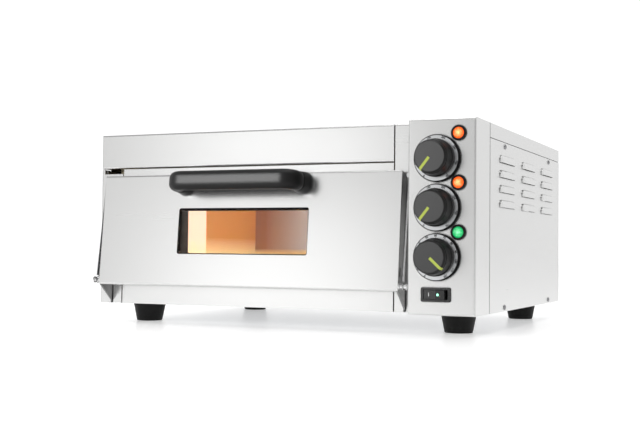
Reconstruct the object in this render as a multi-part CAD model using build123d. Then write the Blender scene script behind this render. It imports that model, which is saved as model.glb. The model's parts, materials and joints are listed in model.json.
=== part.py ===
from build123d import *
import os
from math import atan2, cos, degrees, hypot, radians, sin, tan

# Countertop pizza oven with one baking chamber, a drop-down door and a control column.
# While modelling, X=0 is the casing's left side, Y=0 the plane of the oven's front sheets and
# Z=0 the casing's underside; X runs right, Y back and Z up. All sizes are millimetres.
# save() moves every piece so that the origin is the middle of the box's bottom face.

# ---------------------------------------------------------------- casing
BODY_W = 568.0
BODY_D = 438.0
BODY_H = 240.0
SKIN = 1.2              # casing sheet
BEND = 2.4              # outer radius of a visible fold
SEAM = 0.9              # gap between neighbouring casing sheets
FRONT_SEAM = 1.6        # wider gap between the front sheets
HOOD_SEAM = 1.0         # gap under the hood
SIDE_SEAM = 2.0         # gap between the front sheets' returns and the sheets behind them
RETURN_D = 19.4         # depth of the front sheets' returns
COVER_BAND = 18.3       # height of the lid's turned-down band
TAB = 14.0              # overlap of the backing tabs behind a seam
PAN_FLANGE = 16.0
HOOD_H = 48.4
LEFT_JAMB_W = 36.5
JAMB_SLOT_X = 5.6       # slot between the left jamb and the hood
JAMB_SLOT_RISE = 4.0    # slot's lower edge, above the door's top
RIGHT_JAMB_W = 32.3
OVER = 5.0              # how far a cutting tool runs past its work
SCREW_R = 1.6
SCREW_HEAD_R = 3.3
SCREW_HEAD_H = 1.6
SCREW_REACH = 7.0
SCREW_FRONT = 95.0      # first side screws, from the front plane
SCREW_BACK = 76.0       # last ones, from the back; the back's own, from its ends
SCREW_DROP = 6.0        # upper screws, below the band's lower edge
SCREW_RISE = 5.4        # lower screws, above the underside

# ---------------------------------------------------------------- control column
CONTROL_W = 86.3
CONTROL_PROUD = 42.5
DIAL_R = 28.8
DIAL_T = 7.0
DIAL_INSET = 48.3       # dial centres, from the casing's right side
TOP_DIAL_DROP = 48.9    # top dial centre, below the casing's top
LOW_DIAL_Z = 70.9       # bottom dial centre
KNOB_R = 23.3
KNOB_FACE_R = 18.8
KNOB_H = 25.0
KNOB_GAP = 1.1          # between a knob and its dial plate
POINTER_W = 3.4
POINTER_DEPTH = 0.9
POINTER_START = 1.2     # pointer's inner end, from the knob's middle
POINTER_ANGLES = {"upper": 218.0, "lower": 218.0, "timer": 133.0}   # clockwise from the top
SHAFT_R = 3.0
RUNNING = 0.05          # radial clearance of a shaft or pin that turns in its bore
SHAFT_HOLE_R = 4.0
SHAFT_GRIP = 17.0       # how far the shaft reaches into its knob
SHAFT_DEPTH = 14.0      # depth of the bore in the regulator behind the panel
THERMOSTAT = (19.0, 16.0, 28.0)     # half width, half height, depth
TIMER = (22.0, 20.0, 30.0)
LOOM_PITCH = 7.0        # between neighbouring cable bundles
LOOM_R = 2.6
LOOM_BEND = 20.0
SWITCH_LOOM_R = 2.0
LAMP_INSET = 21.6       # lamp centres, from the casing's right side
LAMP_RISE = 30.3        # lamp centres, above their dial's centre
LAMP_R = 9.5
LAMP_BARREL_R = 7.9
LENS_R = 7.0
LENS_DOME = 2.6
LENS_OUT = 3.6          # lens' front, in front of the panel
BEZEL_T = 3.4
BEZEL_EDGE = 1.4
LAMP_BARREL_L = 20.0
LAMP_BARREL_FLOOR = 2.0
SWITCH_W = 37.5
SWITCH_H = 17.4
SWITCH_X_INSET = 49.6
SWITCH_Z = 25.4
SWITCH_RIM = 1.9        # the frame's flange, standing on the panel
SWITCH_BODY_D = 24.0
SWITCH_LIP_X = 1.7      # the flange stands this far beyond the body, at each end
SWITCH_LIP_Z = 0.9      # and above and below
SWITCH_WELL_D = 14.0
ROCKER_W = 28.0
ROCKER_H = 11.4
ROCKER_TILT = 10.0      # either side of level
ROCKER_CLEAR = 0.3
ROCKER_PIVOT = 3.6      # behind the panel's face
ROCKER_DEPTH = 7.0
ROCKER_VALLEY = 0.3     # valley's depth below the flange's face
ROCKER_CHEEK = 3.0
ROCKER_TAPER = 5.0
TRUNNION_R = 1.5
TRUNNION_REACH = 0.9    # trunnions' ends, beyond the well's sides
TRUNNION_BORE = 1.2     # depth of their bores

# ---------------------------------------------------------------- chamber
CHAMBER_MARGIN = 22.6   # from the door's side edge to the chamber's inside
CHAMBER_SKIN = 1.0
CHAMBER_FLOOR_Z = 30.0
CHAMBER_BACK_GAP = 34.0     # from the chamber's inside back to the casing's back
CEILING_DROP = 19.6     # below the hood's lower edge
MOUTH_LIP = 10.0        # the frame reaches this far over the chamber's sides
MOUTH_Z = 56.0
MOUTH_DROP = 23.6       # mouth's top, below the hood's lower edge
FRONT_SPLIT_Z = 46.0    # seam between the lower front panel and the mouth's frame
STONE_T = 12.0
STONE_TOP_Z = 55.0
STONE_GAP = 5.0
LEDGE_W = 14.0
HEATER_R = 3.25
HEATER_BEND = 30.0
UPPER_HEATER_DROP = 8.0     # below the ceiling
LOWER_HEATER_RISE = 6.5     # above the floor
HEATER_INSET = 22.0     # from the chamber's sides
INSULATION_T = 24.0
ROOF_WOOL_T = 40.0
WOOL_JOINT = 0.5        # gap between neighbouring slabs
DIVIDER_GAP = 6.5       # from the control column back to the heat shield
LAMP_BACK = 64.0        # chamber lamp, from the chamber's back
LAMP_DROP = 34.0        # chamber lamp, below the ceiling
LAMP_GLASS_R = 14.0
LAMP_GLASS_H = 10.0
LAMP_GLASS_EDGE = 6.0
SOCKET_L = 20.0
SOCKET_BORE_L = 12.0
SOCKET_WALL = 2.0       # either side of the glass's outer radius
HANGER_T = 2.0
HANGER_INSET = 120.0    # hangers, from the chamber's sides
HANGER_FRONT = 40.0
HANGER_BACK = 50.0      # from the chamber's back
HANGER_END = 4.0        # width of a hanger's upright ends
HANGER_FOOT = 1.6       # height of its foot, under the heater
HEATER_FRONT = 60.0     # heater's first row, from the front plane
HEATER_BACK = 74.0      # and its last row, from the chamber's back
HEATER_LEG = 10.0       # legs' ends, beyond the heat shield
WOOL_LOW_Z = 20.0
WOOL_UNDER_Z = 8.0
STONE_FRONT = 8.0
STONE_BACK = 10.0       # from the chamber's back
BULB_R = 3.0
BULB_L = 70.0
CAPILLARY_R = 1.0
BULB_FRONT = 90.0       # first bulb's tube enters here, behind the front plane
BULB_PITCH = 110.0
BULB_DROP = 12.0        # first bulb, below the upper heater
BULB_STEP = 62.0        # second bulb, below the first
BULB_WALL_GAP = 4.0     # between a bulb and the chamber's wall
BULB_LEAD = 24.0        # tube's run along the wall before its bulb
TUBE_INSET = 12.0       # tube's start, left of the dials' centres
TUBE_BEND = 6.0

# ---------------------------------------------------------------- door
DOOR_MARGIN = 18.25     # each side of the door, within the oven's front
DOOR_SHIFT = 1.4        # the door sits this far right of the front's middle
DOOR_TOP_DROP = 11.6    # below the hood's lower edge
DOOR_BOTTOM_Z = 27.7
DOOR_TOP_GAP = 16.5     # outer face in front of the front plane, at the top
DOOR_BOTTOM_GAP = 31.0  # and at the bottom
ARM_T = 2.0
ARM_CLEAR = 1.0         # between the arms' back edges and the front plane
ARM_TOP_DROP = 6.0
PIVOT_BACK = 6.8        # hinge pins, behind the inner face of the jambs
PIVOT_Z = 12.0
PIN_R = 3.0
PIN_HEAD = 1.6          # length and overhang of a hinge pin's head
EAR_GAP = 1.2           # between an arm's tail and the bracket's ears
EAR_T = 2.0
EAR_LOW_Z = 3.0
EAR_HIGH_Z = 26.0
EAR_FLANGE = 6.0
EAR_WEB_GAP = 3.0       # between the arm's lobe and the bracket's web
LOBE_R = 6.5
NOTCH_CLEAR = 1.0
PAN_SKIN = 1.0
PAN_GAP = 5.0           # round the door's inner pan, inside the mouth
PAN_DEPTH = 3.0         # the inner pan reaches this far behind the front plane
PAN_FLANGE_GAP = 1.6
PAN_FLANGE_OVER = 12.0
WINDOW_W = 195.2
WINDOW_H = 62.4
WINDOW_RISE = 43.4      # window's lower edge above the door's lower edge
WINDOW_WALL = 1.0
WINDOW_BAR = 3.4        # bar under the window's upper edge, behind the outer pane
WINDOW_BAR_D = 8.0
PANE_SET = 4.0          # outer pane behind the sheet's face
PANE_INSET = 1.0        # inner pane in front of the pan's back
GLASS_T = 3.0
GRIP_L = 195.0
GRIP_H = 26.0
GRIP_T = 20.0
GRIP_OUT = 38.0         # grip's middle, out from the sheet
GRIP_DROP = 14.7        # grip's middle, below the sheet's top edge
GRIP_EDGE = 9.4
GRIP_BEND = 14.0
POST_L = 20.0           # from the sheet to the grip's end
POST_FOOT_W = 27.0
POST_FOOT_H = 30.0
POST_FOOT_EDGE = 12.5
HANDLE_SCREW_R = 2.2
HANDLE_SCREW_HEAD = 2.6
HANDLE_SCREW_STOP = 4.0 # screw's end, short of the post's outer end
DOOR_FOLD = 12.0        # depth of the outer sheet's folds
SPRING_OUT = 5.6        # spring's middle, outboard of the arm
SPRING_R = 2.75
SPRING_WIRE_R = 0.6
LOOP_R = 4.0
STUD_R = 2.5
ARM_SLOT = (6.5, 24.0)   # slot's middle, behind the sheet's face and above its lower edge
ARM_SLOT_L = 13.0
ARM_SLOT_W = 3.8
STUD_END = 1.0          # stud's end, beyond its outer washer
STUD_END_R = 3.4
STUD_NUT_T = 2.4
STUD_NUT_R = 3.6
WASHER_T = 1.2
INNER_WASHER_R = 5.0
OUTER_WASHER_R = 4.4
STUD_BACK = 3.8         # stud's middle, behind the sheet's inner face
STUD_RISE = 6.3         # and above its lower edge
ANCHOR_R = 2.0
ANCHOR_OUT = 4.0
ANCHOR_NECK = 2.4       # peg's neck, beyond the spring's loop
ANCHOR_HEAD_T = 1.6
ANCHOR_HEAD_R = 3.2
ANCHOR_RIVET_T = 3.0
ANCHOR_RIVET_R = 3.6
ANCHOR_DROP = 17.6      # below the hood's lower edge

# ---------------------------------------------------------------- feet and cable gland
FOOT_H = 25.0
FOOT_TOP_R = 23.0
FOOT_LOW_R = 18.0
FOOT_LEFT = 64.0
FOOT_RIGHT = 43.0
FOOT_FRONT = 32.0
FOOT_BACK = 75.0
FOOT_SCREW_R = 3.0
FOOT_BORE_R = 7.0
FOOT_BORE_L = 12.0
GLAND_INSET = 48.0
GLAND_Z = 45.0
GLAND_R = 8.0
GLAND_BORE_R = 4.2
GLAND_FLANGE_R = 11.0
GLAND_OUT = 18.0
GLAND_IN = 9.0
TERMINAL_CLEAR = 12.0   # terminal block's front, behind the back feet's screws
TERMINAL_D = 32.0
TERMINAL_Z = 28.0       # terminal block's top
TERMINAL_LEFT = 20.0    # terminal block's ends, either side of the dials' centres
TERMINAL_RIGHT = 26.0

# ---------------------------------------------------------------- louvres
LOUVRE_L = 79.0
LOUVRE_H = 9.7
LOUVRE_D = 3.2
LOUVRE_END = 11.0
LOUVRE_PITCH_Y = 121.0
LOUVRE_PITCH_Z = 19.4
LOUVRE_FRONT = 68.0     # first column, from the front plane
LOUVRE_DROP = 46.2      # first row's lower edge, below the top
LOUVRE_COLUMNS = 3
LOUVRE_ROWS = 4

VENT_L = 52.0           # slots in the back sheet
VENT_H = 5.0
VENT_ROWS = 6
VENT_RISE = 40.0        # first slot, above the cable gland
VENT_PITCH = 15.0

# ---------------------------------------------------------------- places worked out from those
FRONT_W = BODY_W - CONTROL_W
HOOD_Z = BODY_H - HOOD_H
BAND_Z = BODY_H - COVER_BAND
JAMB_X = FRONT_W - RIGHT_JAMB_W
PANEL_Y = -CONTROL_PROUD
DIAL_X = BODY_W - DIAL_INSET
TOP_DIAL_Z = BODY_H - TOP_DIAL_DROP
DIAL_Z = {"upper": TOP_DIAL_Z, "lower": (TOP_DIAL_Z + LOW_DIAL_Z) / 2, "timer": LOW_DIAL_Z}
KNOB_BACK_Y = PANEL_Y - DIAL_T - KNOB_GAP
KNOB_FRONT_Y = KNOB_BACK_Y - KNOB_H
LAMP_X = BODY_W - LAMP_INSET
LENS_BACK_Y = PANEL_Y + LAMP_BARREL_L - LAMP_BARREL_FLOOR
SWITCH_X = BODY_W - SWITCH_X_INSET

PIVOT_Y = SKIN + PIVOT_BACK
DOOR_X0 = DOOR_MARGIN + DOOR_SHIFT
DOOR_X1 = FRONT_W - DOOR_MARGIN + DOOR_SHIFT
DOOR_TOP_Z = HOOD_Z - DOOR_TOP_DROP
DOOR_TILT = atan2(DOOR_BOTTOM_GAP - DOOR_TOP_GAP, DOOR_TOP_Z - DOOR_BOTTOM_Z)
DOOR_L = hypot(DOOR_BOTTOM_GAP - DOOR_TOP_GAP, DOOR_TOP_Z - DOOR_BOTTOM_Z)
WINDOW_MID = FRONT_W / 2
WINDOW_X0 = WINDOW_MID - WINDOW_W / 2
WINDOW_X1 = WINDOW_MID + WINDOW_W / 2
WINDOW_Z0 = DOOR_BOTTOM_Z + WINDOW_RISE
WINDOW_Z1 = WINDOW_Z0 + WINDOW_H

CHAMBER_X0 = DOOR_X0 + CHAMBER_MARGIN
CHAMBER_X1 = DOOR_X1 - CHAMBER_MARGIN
CHAMBER_Y1 = BODY_D - CHAMBER_BACK_GAP
CEILING_Z = HOOD_Z - CEILING_DROP
MOUTH_X0 = CHAMBER_X0 + MOUTH_LIP
MOUTH_X1 = CHAMBER_X1 - MOUTH_LIP
MOUTH_TOP_Z = HOOD_Z - MOUTH_DROP
STONE_LOW_Z = STONE_TOP_Z - STONE_T
UPPER_HEATER_Z = CEILING_Z - UPPER_HEATER_DROP
LOWER_HEATER_Z = CHAMBER_FLOOR_Z + LOWER_HEATER_RISE
DIVIDER_X = FRONT_W - DIVIDER_GAP
WOOL_X0 = CHAMBER_X0 - CHAMBER_SKIN - INSULATION_T
WOOL_X1 = CHAMBER_X1 + CHAMBER_SKIN + INSULATION_T
WOOL_Y0 = RETURN_D + 4.6
LAMP_Y = CHAMBER_Y1 - LAMP_BACK
LAMP_Z = CEILING_Z - LAMP_DROP
GLAND_X = BODY_W - GLAND_INSET
TERMINAL_Y = BODY_D - FOOT_BACK + TERMINAL_CLEAR

X_LOW = -SCREW_HEAD_H
X_HIGH = BODY_W + max(LOUVRE_D, SCREW_HEAD_H)
Y_HIGH = BODY_D + GLAND_OUT
SHIFT = Location((-(X_LOW + X_HIGH) / 2, -(KNOB_FRONT_Y + Y_HIGH) / 2, FOOT_H))

ARM_SIDES = ((DOOR_X0, -1.0), (DOOR_X1 - ARM_T, 1.0))      # each arm's lower X, its outboard way


# ---------------------------------------------------------------- simple solids
def block(x0, x1, y0, y1, z0, z1):
    """A box between six planes."""
    return Pos((x0 + x1) / 2, (y0 + y1) / 2, (z0 + z1) / 2) * Box(x1 - x0, y1 - y0, z1 - z0)


def rod_x(x0, x1, y, z, radius):
    """A round bar along X."""
    return Pos((x0 + x1) / 2, y, z) * Rot(0, 90, 0) * Cylinder(radius, abs(x1 - x0))


def rod_y(x, y0, y1, z, radius):
    """A round bar along Y."""
    return Pos(x, (y0 + y1) / 2, z) * Rot(90, 0, 0) * Cylinder(radius, abs(y1 - y0))


def rod_z(x, y, z0, z1, radius):
    """A round bar along Z."""
    return Pos(x, y, (z0 + z1) / 2) * Cylinder(radius, abs(z1 - z0))


def pipe(points, radius, bend):
    """A round wire or tube through points, its corners rounded to one bend radius."""
    path = FilletPolyline(*points, radius=bend)
    return sweep(Plane(path @ 0, z_dir=path % 0) * Circle(radius), path=path)


def front_edges(shape, sides):
    """The edges of a box's front face that lead to the named sides: L, R, B or T."""
    upright = shape.edges().filter_by(Axis.Z).group_by(Axis.Y)[0].sort_by(Axis.X)
    level = shape.edges().filter_by(Axis.X).group_by(Axis.Y)[0].sort_by(Axis.Z)
    ends = {"L": upright[0], "R": upright[-1], "B": level[0], "T": level[-1]}
    return [ends[side] for side in sides]


def tray(x0, x1, y0, y1, z0, z1, sides):
    """A folded sheet: a front face at y0, with returns back to y1 on the named sides."""
    inset = {side: SKIN if side in sides else -OVER for side in "LRBT"}
    outer = block(x0, x1, y0, y1, z0, z1)
    inner = block(x0 + inset["L"], x1 - inset["R"], y0 + SKIN, y1 + OVER,
                  z0 + inset["B"], z1 - inset["T"])
    outer = fillet(front_edges(outer, sides), BEND)
    inner = fillet(front_edges(inner, sides), BEND - SKIN)
    return outer - inner


def dome_screw(reach):
    """A dome-headed screw at the origin: its head rises along +Z, its shank runs to -reach."""
    head = Cylinder(SCREW_HEAD_R, SCREW_HEAD_H, align=(Align.CENTER, Align.CENTER, Align.MIN))
    head = fillet(head.edges().group_by(Axis.Z)[-1], SCREW_HEAD_H * 0.8)
    recess = Pos(0, 0, SCREW_HEAD_H) * (Box(3.2, 0.7, 1.2) + Box(0.7, 3.2, 1.2))
    shank = Pos(0, 0, -reach / 2) * Cylinder(SCREW_R, reach)
    return head - recess + shank


# ---------------------------------------------------------------- screws in the casing
SCREW_YS = (SCREW_FRONT, BODY_D - SCREW_BACK)
SCREW_ZS = (BAND_Z - SCREW_DROP, SCREW_RISE)
BACK_SCREW_XS = (SCREW_BACK, BODY_W / 2, BODY_W - SCREW_BACK)


def screw_places():
    """Every casing screw: where it is and which way its head faces."""
    places = [Pos(0, y, z) * Rot(0, -90, 0) for y in SCREW_YS for z in SCREW_ZS]
    places += [Pos(BODY_W, y, z) * Rot(0, 90, 0) for y in SCREW_YS for z in SCREW_ZS]
    places += [Pos(x, BODY_D, z) * Rot(-90, 0, 0) for x in BACK_SCREW_XS for z in SCREW_ZS]
    return places


def casing_screws():
    return Part() + [place * dome_screw(SCREW_REACH) for place in screw_places()]


def screw_bores():
    """The shanks alone, as the tool that drills the sheets they pass through."""
    shank = Cylinder(SCREW_R, 2 * (SCREW_REACH + OVER))
    return Part() + [place * shank for place in screw_places()]


BORES = screw_bores()


# ---------------------------------------------------------------- hinge notches
def hinge_notches():
    """Slots that let the arms' tails and lower tips swing through the front and the pan."""
    tools = []
    for x, _ in ARM_SIDES:
        tools.append(block(x - NOTCH_CLEAR, x + ARM_T + NOTCH_CLEAR,
                           -OVER, PIVOT_Y + 2 * LOBE_R + SKIN,
                           -OVER, PIVOT_Z + 2 * LOBE_R + 2 * NOTCH_CLEAR))
    return Part() + tools


NOTCHES = hinge_notches()


# ---------------------------------------------------------------- casing sheets
def base_pan():
    """Bottom tray between the side sheets, cut back behind the control column."""
    x0, x1, y0, y1 = SKIN, BODY_W - SKIN, SKIN, BODY_D - SKIN
    pan = block(x0, x1, y0, y1, 0, SKIN)
    pan += block(x0, x0 + SKIN, RETURN_D + SEAM, y1, 0, PAN_FLANGE)
    pan += block(x1 - SKIN, x1, RETURN_D + SEAM, y1, 0, PAN_FLANGE)
    pan += block(x0, x1, y1 - SKIN, y1, 0, PAN_FLANGE)
    pan += block(DOOR_X0 + 3 * LOBE_R, DOOR_X1 - 3 * LOBE_R, y0, y0 + SKIN, 0, PAN_FLANGE)
    pan -= block(FRONT_W - SEAM, BODY_W, 0, RETURN_D + SEAM, -OVER, OVER)
    pan -= block(0, 2 * SKIN, 0, RETURN_D + SEAM, -OVER, OVER)
    for x, y in foot_places():
        pan -= rod_z(x, y, -OVER, OVER, FOOT_SCREW_R)
    return pan - NOTCHES - BORES


def side_sheet(x0):
    """A plain side sheet, from the front's return to the back, up to the lid's band."""
    return block(x0, x0 + SKIN, RETURN_D + SIDE_SEAM, BODY_D - SKIN - SEAM, 0, BAND_Z - SEAM)


def louvre_form(length, depth, height):
    """A pressed half-pillow that stands out along +X, square below and rounded at its ends."""
    profile = Ellipse(depth, height) & Pos(depth / 2, height / 2) * Rectangle(depth, height)
    bar = extrude(Plane.XZ * profile, amount=-length)
    ends = Pos(0, LOUVRE_END) * Ellipse(depth, LOUVRE_END)
    ends += Pos(0, length - LOUVRE_END) * Ellipse(depth, LOUVRE_END)
    ends += Pos(0, length / 2) * Rectangle(2 * depth, length - 2 * LOUVRE_END)
    plan = extrude(ends, amount=height)
    front = Pos(length / 2, height / 2) * Rectangle(length, height)
    front = fillet(front.vertices().group_by(Axis.Y)[-1], height * 0.85)
    return bar & plan & extrude(Plane.YZ * front, amount=depth)


def right_side_panel():
    wall = SKIN * 0.8
    panel = side_sheet(BODY_W - SKIN)
    outer = louvre_form(LOUVRE_L, LOUVRE_D, LOUVRE_H)
    inner = Pos(0, wall, 0) * louvre_form(LOUVRE_L - 2 * wall, LOUVRE_D - wall, LOUVRE_H - wall)
    slot = block(-2 * SKIN, 0, 2 * wall + LOUVRE_END, LOUVRE_L - 2 * wall - LOUVRE_END,
                 0, LOUVRE_H - 2 * wall)
    for column in range(LOUVRE_COLUMNS):
        for row in range(LOUVRE_ROWS):
            place = Pos(BODY_W, LOUVRE_FRONT + column * LOUVRE_PITCH_Y,
                        BODY_H - LOUVRE_DROP - row * LOUVRE_PITCH_Z)
            panel = panel + place * outer - place * inner - place * slot
    return panel - BORES


def left_side_panel():
    return side_sheet(0) - BORES


def top_cover():
    """Lid: a top sheet, a turned-down band on three sides and tabs inside the side sheets."""
    y0 = RETURN_D + SIDE_SEAM
    lid = block(0, BODY_W, y0, BODY_D, BAND_Z, BODY_H)
    lid -= block(SKIN, BODY_W - SKIN, y0 - OVER, BODY_D - SKIN, BAND_Z - OVER, BODY_H - SKIN)
    tabs = block(SKIN, BODY_W - SKIN, y0 + TAB, BODY_D - SKIN, BAND_Z - TAB, BODY_H - SKIN)
    tabs -= block(2 * SKIN, BODY_W - 2 * SKIN, y0, BODY_D - 2 * SKIN, 0, BODY_H)
    return lid + tabs - BORES


def back_panel():
    """Back sheet with vent slots behind the control bay and a hole for the cable gland."""
    panel = block(0, BODY_W, BODY_D - SKIN, BODY_D, 0, BAND_Z - SEAM)
    slot = extrude(Plane.XZ * SlotOverall(VENT_L, VENT_H), amount=-2 * OVER)
    for row in range(VENT_ROWS):
        panel -= Pos(GLAND_X, BODY_D - OVER, GLAND_Z + VENT_RISE + row * VENT_PITCH) * slot
    panel -= rod_y(GLAND_X, BODY_D - OVER, BODY_D + OVER, GLAND_Z, GLAND_R)
    return panel - BORES


def hood_panel():
    return tray(0, JAMB_X - FRONT_SEAM, 0, RETURN_D, HOOD_Z, BODY_H, "LBT")


def left_jamb():
    """Left front sheet, with a slot under the hood and a backing tab behind the side seam."""
    top = HOOD_Z - SEAM
    jamb = tray(0, LEFT_JAMB_W, 0, RETURN_D, 0, top, "L")
    jamb -= block(JAMB_SLOT_X, LEFT_JAMB_W + OVER, -OVER, 2 * SKIN, DOOR_TOP_Z + JAMB_SLOT_RISE,
                  top + OVER)
    jamb += block(SKIN, 2 * SKIN, RETURN_D - TAB / 2, RETURN_D + TAB, PAN_FLANGE + 4, HOOD_Z - 2 * SEAM)
    jamb -= rod_y(anchor_x(*ARM_SIDES[0]), -OVER, OVER, anchor_z(), ANCHOR_R)
    return jamb - NOTCHES


def right_jamb():
    jamb = tray(JAMB_X, FRONT_W, 0, RETURN_D, 0, BODY_H, "T")
    jamb -= rod_y(anchor_x(*ARM_SIDES[1]), -OVER, OVER, anchor_z(), ANCHOR_R)
    return jamb - NOTCHES


def lower_front_panel():
    x0, x1 = LEFT_JAMB_W + FRONT_SEAM, JAMB_X - FRONT_SEAM
    return block(x0, x1, 0, SKIN, 0, FRONT_SPLIT_Z - SEAM)


def front_frame():
    """Plate round the mouth, with a lip turned back into the chamber."""
    x0, x1 = LEFT_JAMB_W + FRONT_SEAM, JAMB_X - FRONT_SEAM
    plate = block(x0, x1, 0, SKIN, FRONT_SPLIT_Z, HOOD_Z - HOOD_SEAM)
    lip = block(MOUTH_X0 - SKIN, MOUTH_X1 + SKIN, 0, 3 * SKIN, MOUTH_Z - SKIN, MOUTH_TOP_Z + SKIN)
    return plate + lip - block(MOUTH_X0, MOUTH_X1, -OVER, OVER, MOUTH_Z, MOUTH_TOP_Z)


def control_panel():
    """Box-shaped front of the control column, open to the back, with a backing tab."""
    panel = tray(FRONT_W, BODY_W, PANEL_Y, RETURN_D, 0, BODY_H, "LRBT")
    panel += block(BODY_W - 2 * SKIN, BODY_W - SKIN, RETURN_D - TAB / 2, RETURN_D + TAB,
                   PAN_FLANGE + 4, BAND_Z - 2 * TAB)
    for z in DIAL_Z.values():
        panel -= rod_y(DIAL_X, PANEL_Y - OVER, PANEL_Y + OVER, z, SHAFT_HOLE_R)
        panel -= rod_y(LAMP_X, PANEL_Y - OVER, PANEL_Y + OVER, z + LAMP_RISE, LAMP_BARREL_R)
    return panel - Pos(SWITCH_X, PANEL_Y, SWITCH_Z) * switch_body_form()


def control_divider():
    shield = block(DIVIDER_X, DIVIDER_X + SKIN, RETURN_D + 4, BODY_D - 3 * SKIN, SKIN, BODY_H - SKIN)
    return shield - heater_bores() - capillary_bores()


# ---------------------------------------------------------------- chamber
def heater_rows():
    """Front and back rows, where the heaters' legs leave the chamber."""
    return HEATER_FRONT, CHAMBER_Y1 - HEATER_BACK


def heater_bores():
    """Holes for the heaters' legs, through the right wall, the wool and the heat shield."""
    tools = []
    for z in (UPPER_HEATER_Z, LOWER_HEATER_Z):
        for y in heater_rows():
            tools.append(rod_x(CHAMBER_X1 - OVER, FRONT_W, y, z, HEATER_R))
    return Part() + tools


def bulb_y(index):
    return BULB_FRONT + BULB_PITCH * index


def bulb_z(index):
    return UPPER_HEATER_Z - BULB_DROP - BULB_STEP * index


def capillary_bores():
    tools = [rod_x(CHAMBER_X1 - OVER, FRONT_W, bulb_y(i), bulb_z(i), CAPILLARY_R) for i in range(2)]
    return Part() + tools


def chamber_wall(x0, inward):
    """A side wall with a folded ledge for the stone; inward is +1 for the left, -1 for the right."""
    wall = block(x0, x0 + CHAMBER_SKIN, SKIN, CHAMBER_Y1, CHAMBER_FLOOR_Z - CHAMBER_SKIN,
                 CEILING_Z + CHAMBER_SKIN)
    face = x0 + CHAMBER_SKIN if inward > 0 else x0
    edge = face + inward * LEDGE_W
    ledge = block(min(face, edge), max(face, edge), 2 * OVER, CHAMBER_Y1 - OVER,
                  STONE_LOW_Z - SKIN, STONE_LOW_Z)
    return wall + ledge


def chamber_left_wall():
    return chamber_wall(CHAMBER_X0 - CHAMBER_SKIN, 1.0)


def chamber_right_wall():
    lamp_hole = rod_x(CHAMBER_X1 - OVER, CHAMBER_X1 + OVER, LAMP_Y, LAMP_Z, LAMP_GLASS_R)
    return chamber_wall(CHAMBER_X1, -1.0) - heater_bores() - capillary_bores() - lamp_hole


def chamber_back_wall():
    return block(CHAMBER_X0 - CHAMBER_SKIN, CHAMBER_X1 + CHAMBER_SKIN, CHAMBER_Y1,
                 CHAMBER_Y1 + CHAMBER_SKIN, CHAMBER_FLOOR_Z - CHAMBER_SKIN, CEILING_Z + CHAMBER_SKIN)


def chamber_ceiling():
    """Ceiling sheet with two hangers that carry the upper heater."""
    sheet = block(CHAMBER_X0, CHAMBER_X1, SKIN, CHAMBER_Y1, CEILING_Z, CEILING_Z + CHAMBER_SKIN)
    low = UPPER_HEATER_Z - HEATER_R
    y0, y1 = HANGER_FRONT, CHAMBER_Y1 - HANGER_BACK
    for x in (CHAMBER_X0 + HANGER_INSET, CHAMBER_X1 - HANGER_INSET):
        hanger = block(x, x + HANGER_T, y0, y1, low - HANGER_FOOT, CEILING_Z)
        hanger -= block(x - OVER, x + OVER, y0 + HANGER_END, y1 - HANGER_END, low, CEILING_Z + OVER)
        sheet += hanger
    return sheet


def chamber_floor():
    return block(CHAMBER_X0, CHAMBER_X1, SKIN, CHAMBER_Y1,
                 CHAMBER_FLOOR_Z - CHAMBER_SKIN, CHAMBER_FLOOR_Z)


def insulation():
    """Wool slabs at the left, right, back, top and bottom of the chamber."""
    outer_x0, outer_x1 = CHAMBER_X0 - CHAMBER_SKIN, CHAMBER_X1 + CHAMBER_SKIN
    back = CHAMBER_Y1 + CHAMBER_SKIN
    z0, z1 = WOOL_LOW_Z, CEILING_Z + CHAMBER_SKIN
    left = block(WOOL_X0, outer_x0, WOOL_Y0, back - WOOL_JOINT, z0, z1 - WOOL_JOINT)
    right = block(outer_x1, WOOL_X1, WOOL_Y0, back - WOOL_JOINT, z0, z1 - WOOL_JOINT)
    rear = block(WOOL_X0, WOOL_X1, back, back + INSULATION_T, z0, z1 - WOOL_JOINT)
    roof = block(WOOL_X0, WOOL_X1, WOOL_Y0, back + INSULATION_T, z1, z1 + ROOF_WOOL_T)
    under = block(outer_x0 + 2, outer_x1 - 2, WOOL_Y0, CHAMBER_Y1, WOOL_UNDER_Z,
                  CHAMBER_FLOOR_Z - CHAMBER_SKIN)
    right -= heater_bores() + capillary_bores()
    right -= rod_x(outer_x1 - OVER, WOOL_X1 + OVER, LAMP_Y, LAMP_Z, LAMP_GLASS_R + SOCKET_WALL)
    return Compound(children=[left, right, rear, roof, under])


def baking_stone():
    stone = block(CHAMBER_X0 + STONE_GAP, CHAMBER_X1 - STONE_GAP, STONE_FRONT, CHAMBER_Y1 - STONE_BACK,
                  STONE_LOW_Z, STONE_TOP_Z)
    return chamfer(stone.edges().group_by(Axis.Z)[-1], 1.0)


def heater(z):
    """A bent tube element: four runs across the chamber, both legs out through the right wall."""
    first, last = heater_rows()
    rows = [first + (last - first) * i / 3 for i in range(4)]
    left = CHAMBER_X0 + HEATER_INSET
    right = CHAMBER_X1 - HEATER_INSET
    leg = DIVIDER_X + HEATER_LEG
    points = [(leg, rows[0], z), (left, rows[0], z), (left, rows[1], z), (right, rows[1], z),
              (right, rows[2], z), (left, rows[2], z), (left, rows[3], z), (leg, rows[3], z)]
    return pipe(points, HEATER_R, HEATER_BEND)


def lamp_holder():
    """Ceramic socket behind the chamber's right wall."""
    x0 = CHAMBER_X1 + CHAMBER_SKIN
    socket = rod_x(x0, x0 + SOCKET_L, LAMP_Y, LAMP_Z, LAMP_GLASS_R + SOCKET_WALL)
    return socket - rod_x(x0 - OVER, x0 + SOCKET_BORE_L, LAMP_Y, LAMP_Z, LAMP_GLASS_R - SOCKET_WALL)


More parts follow.
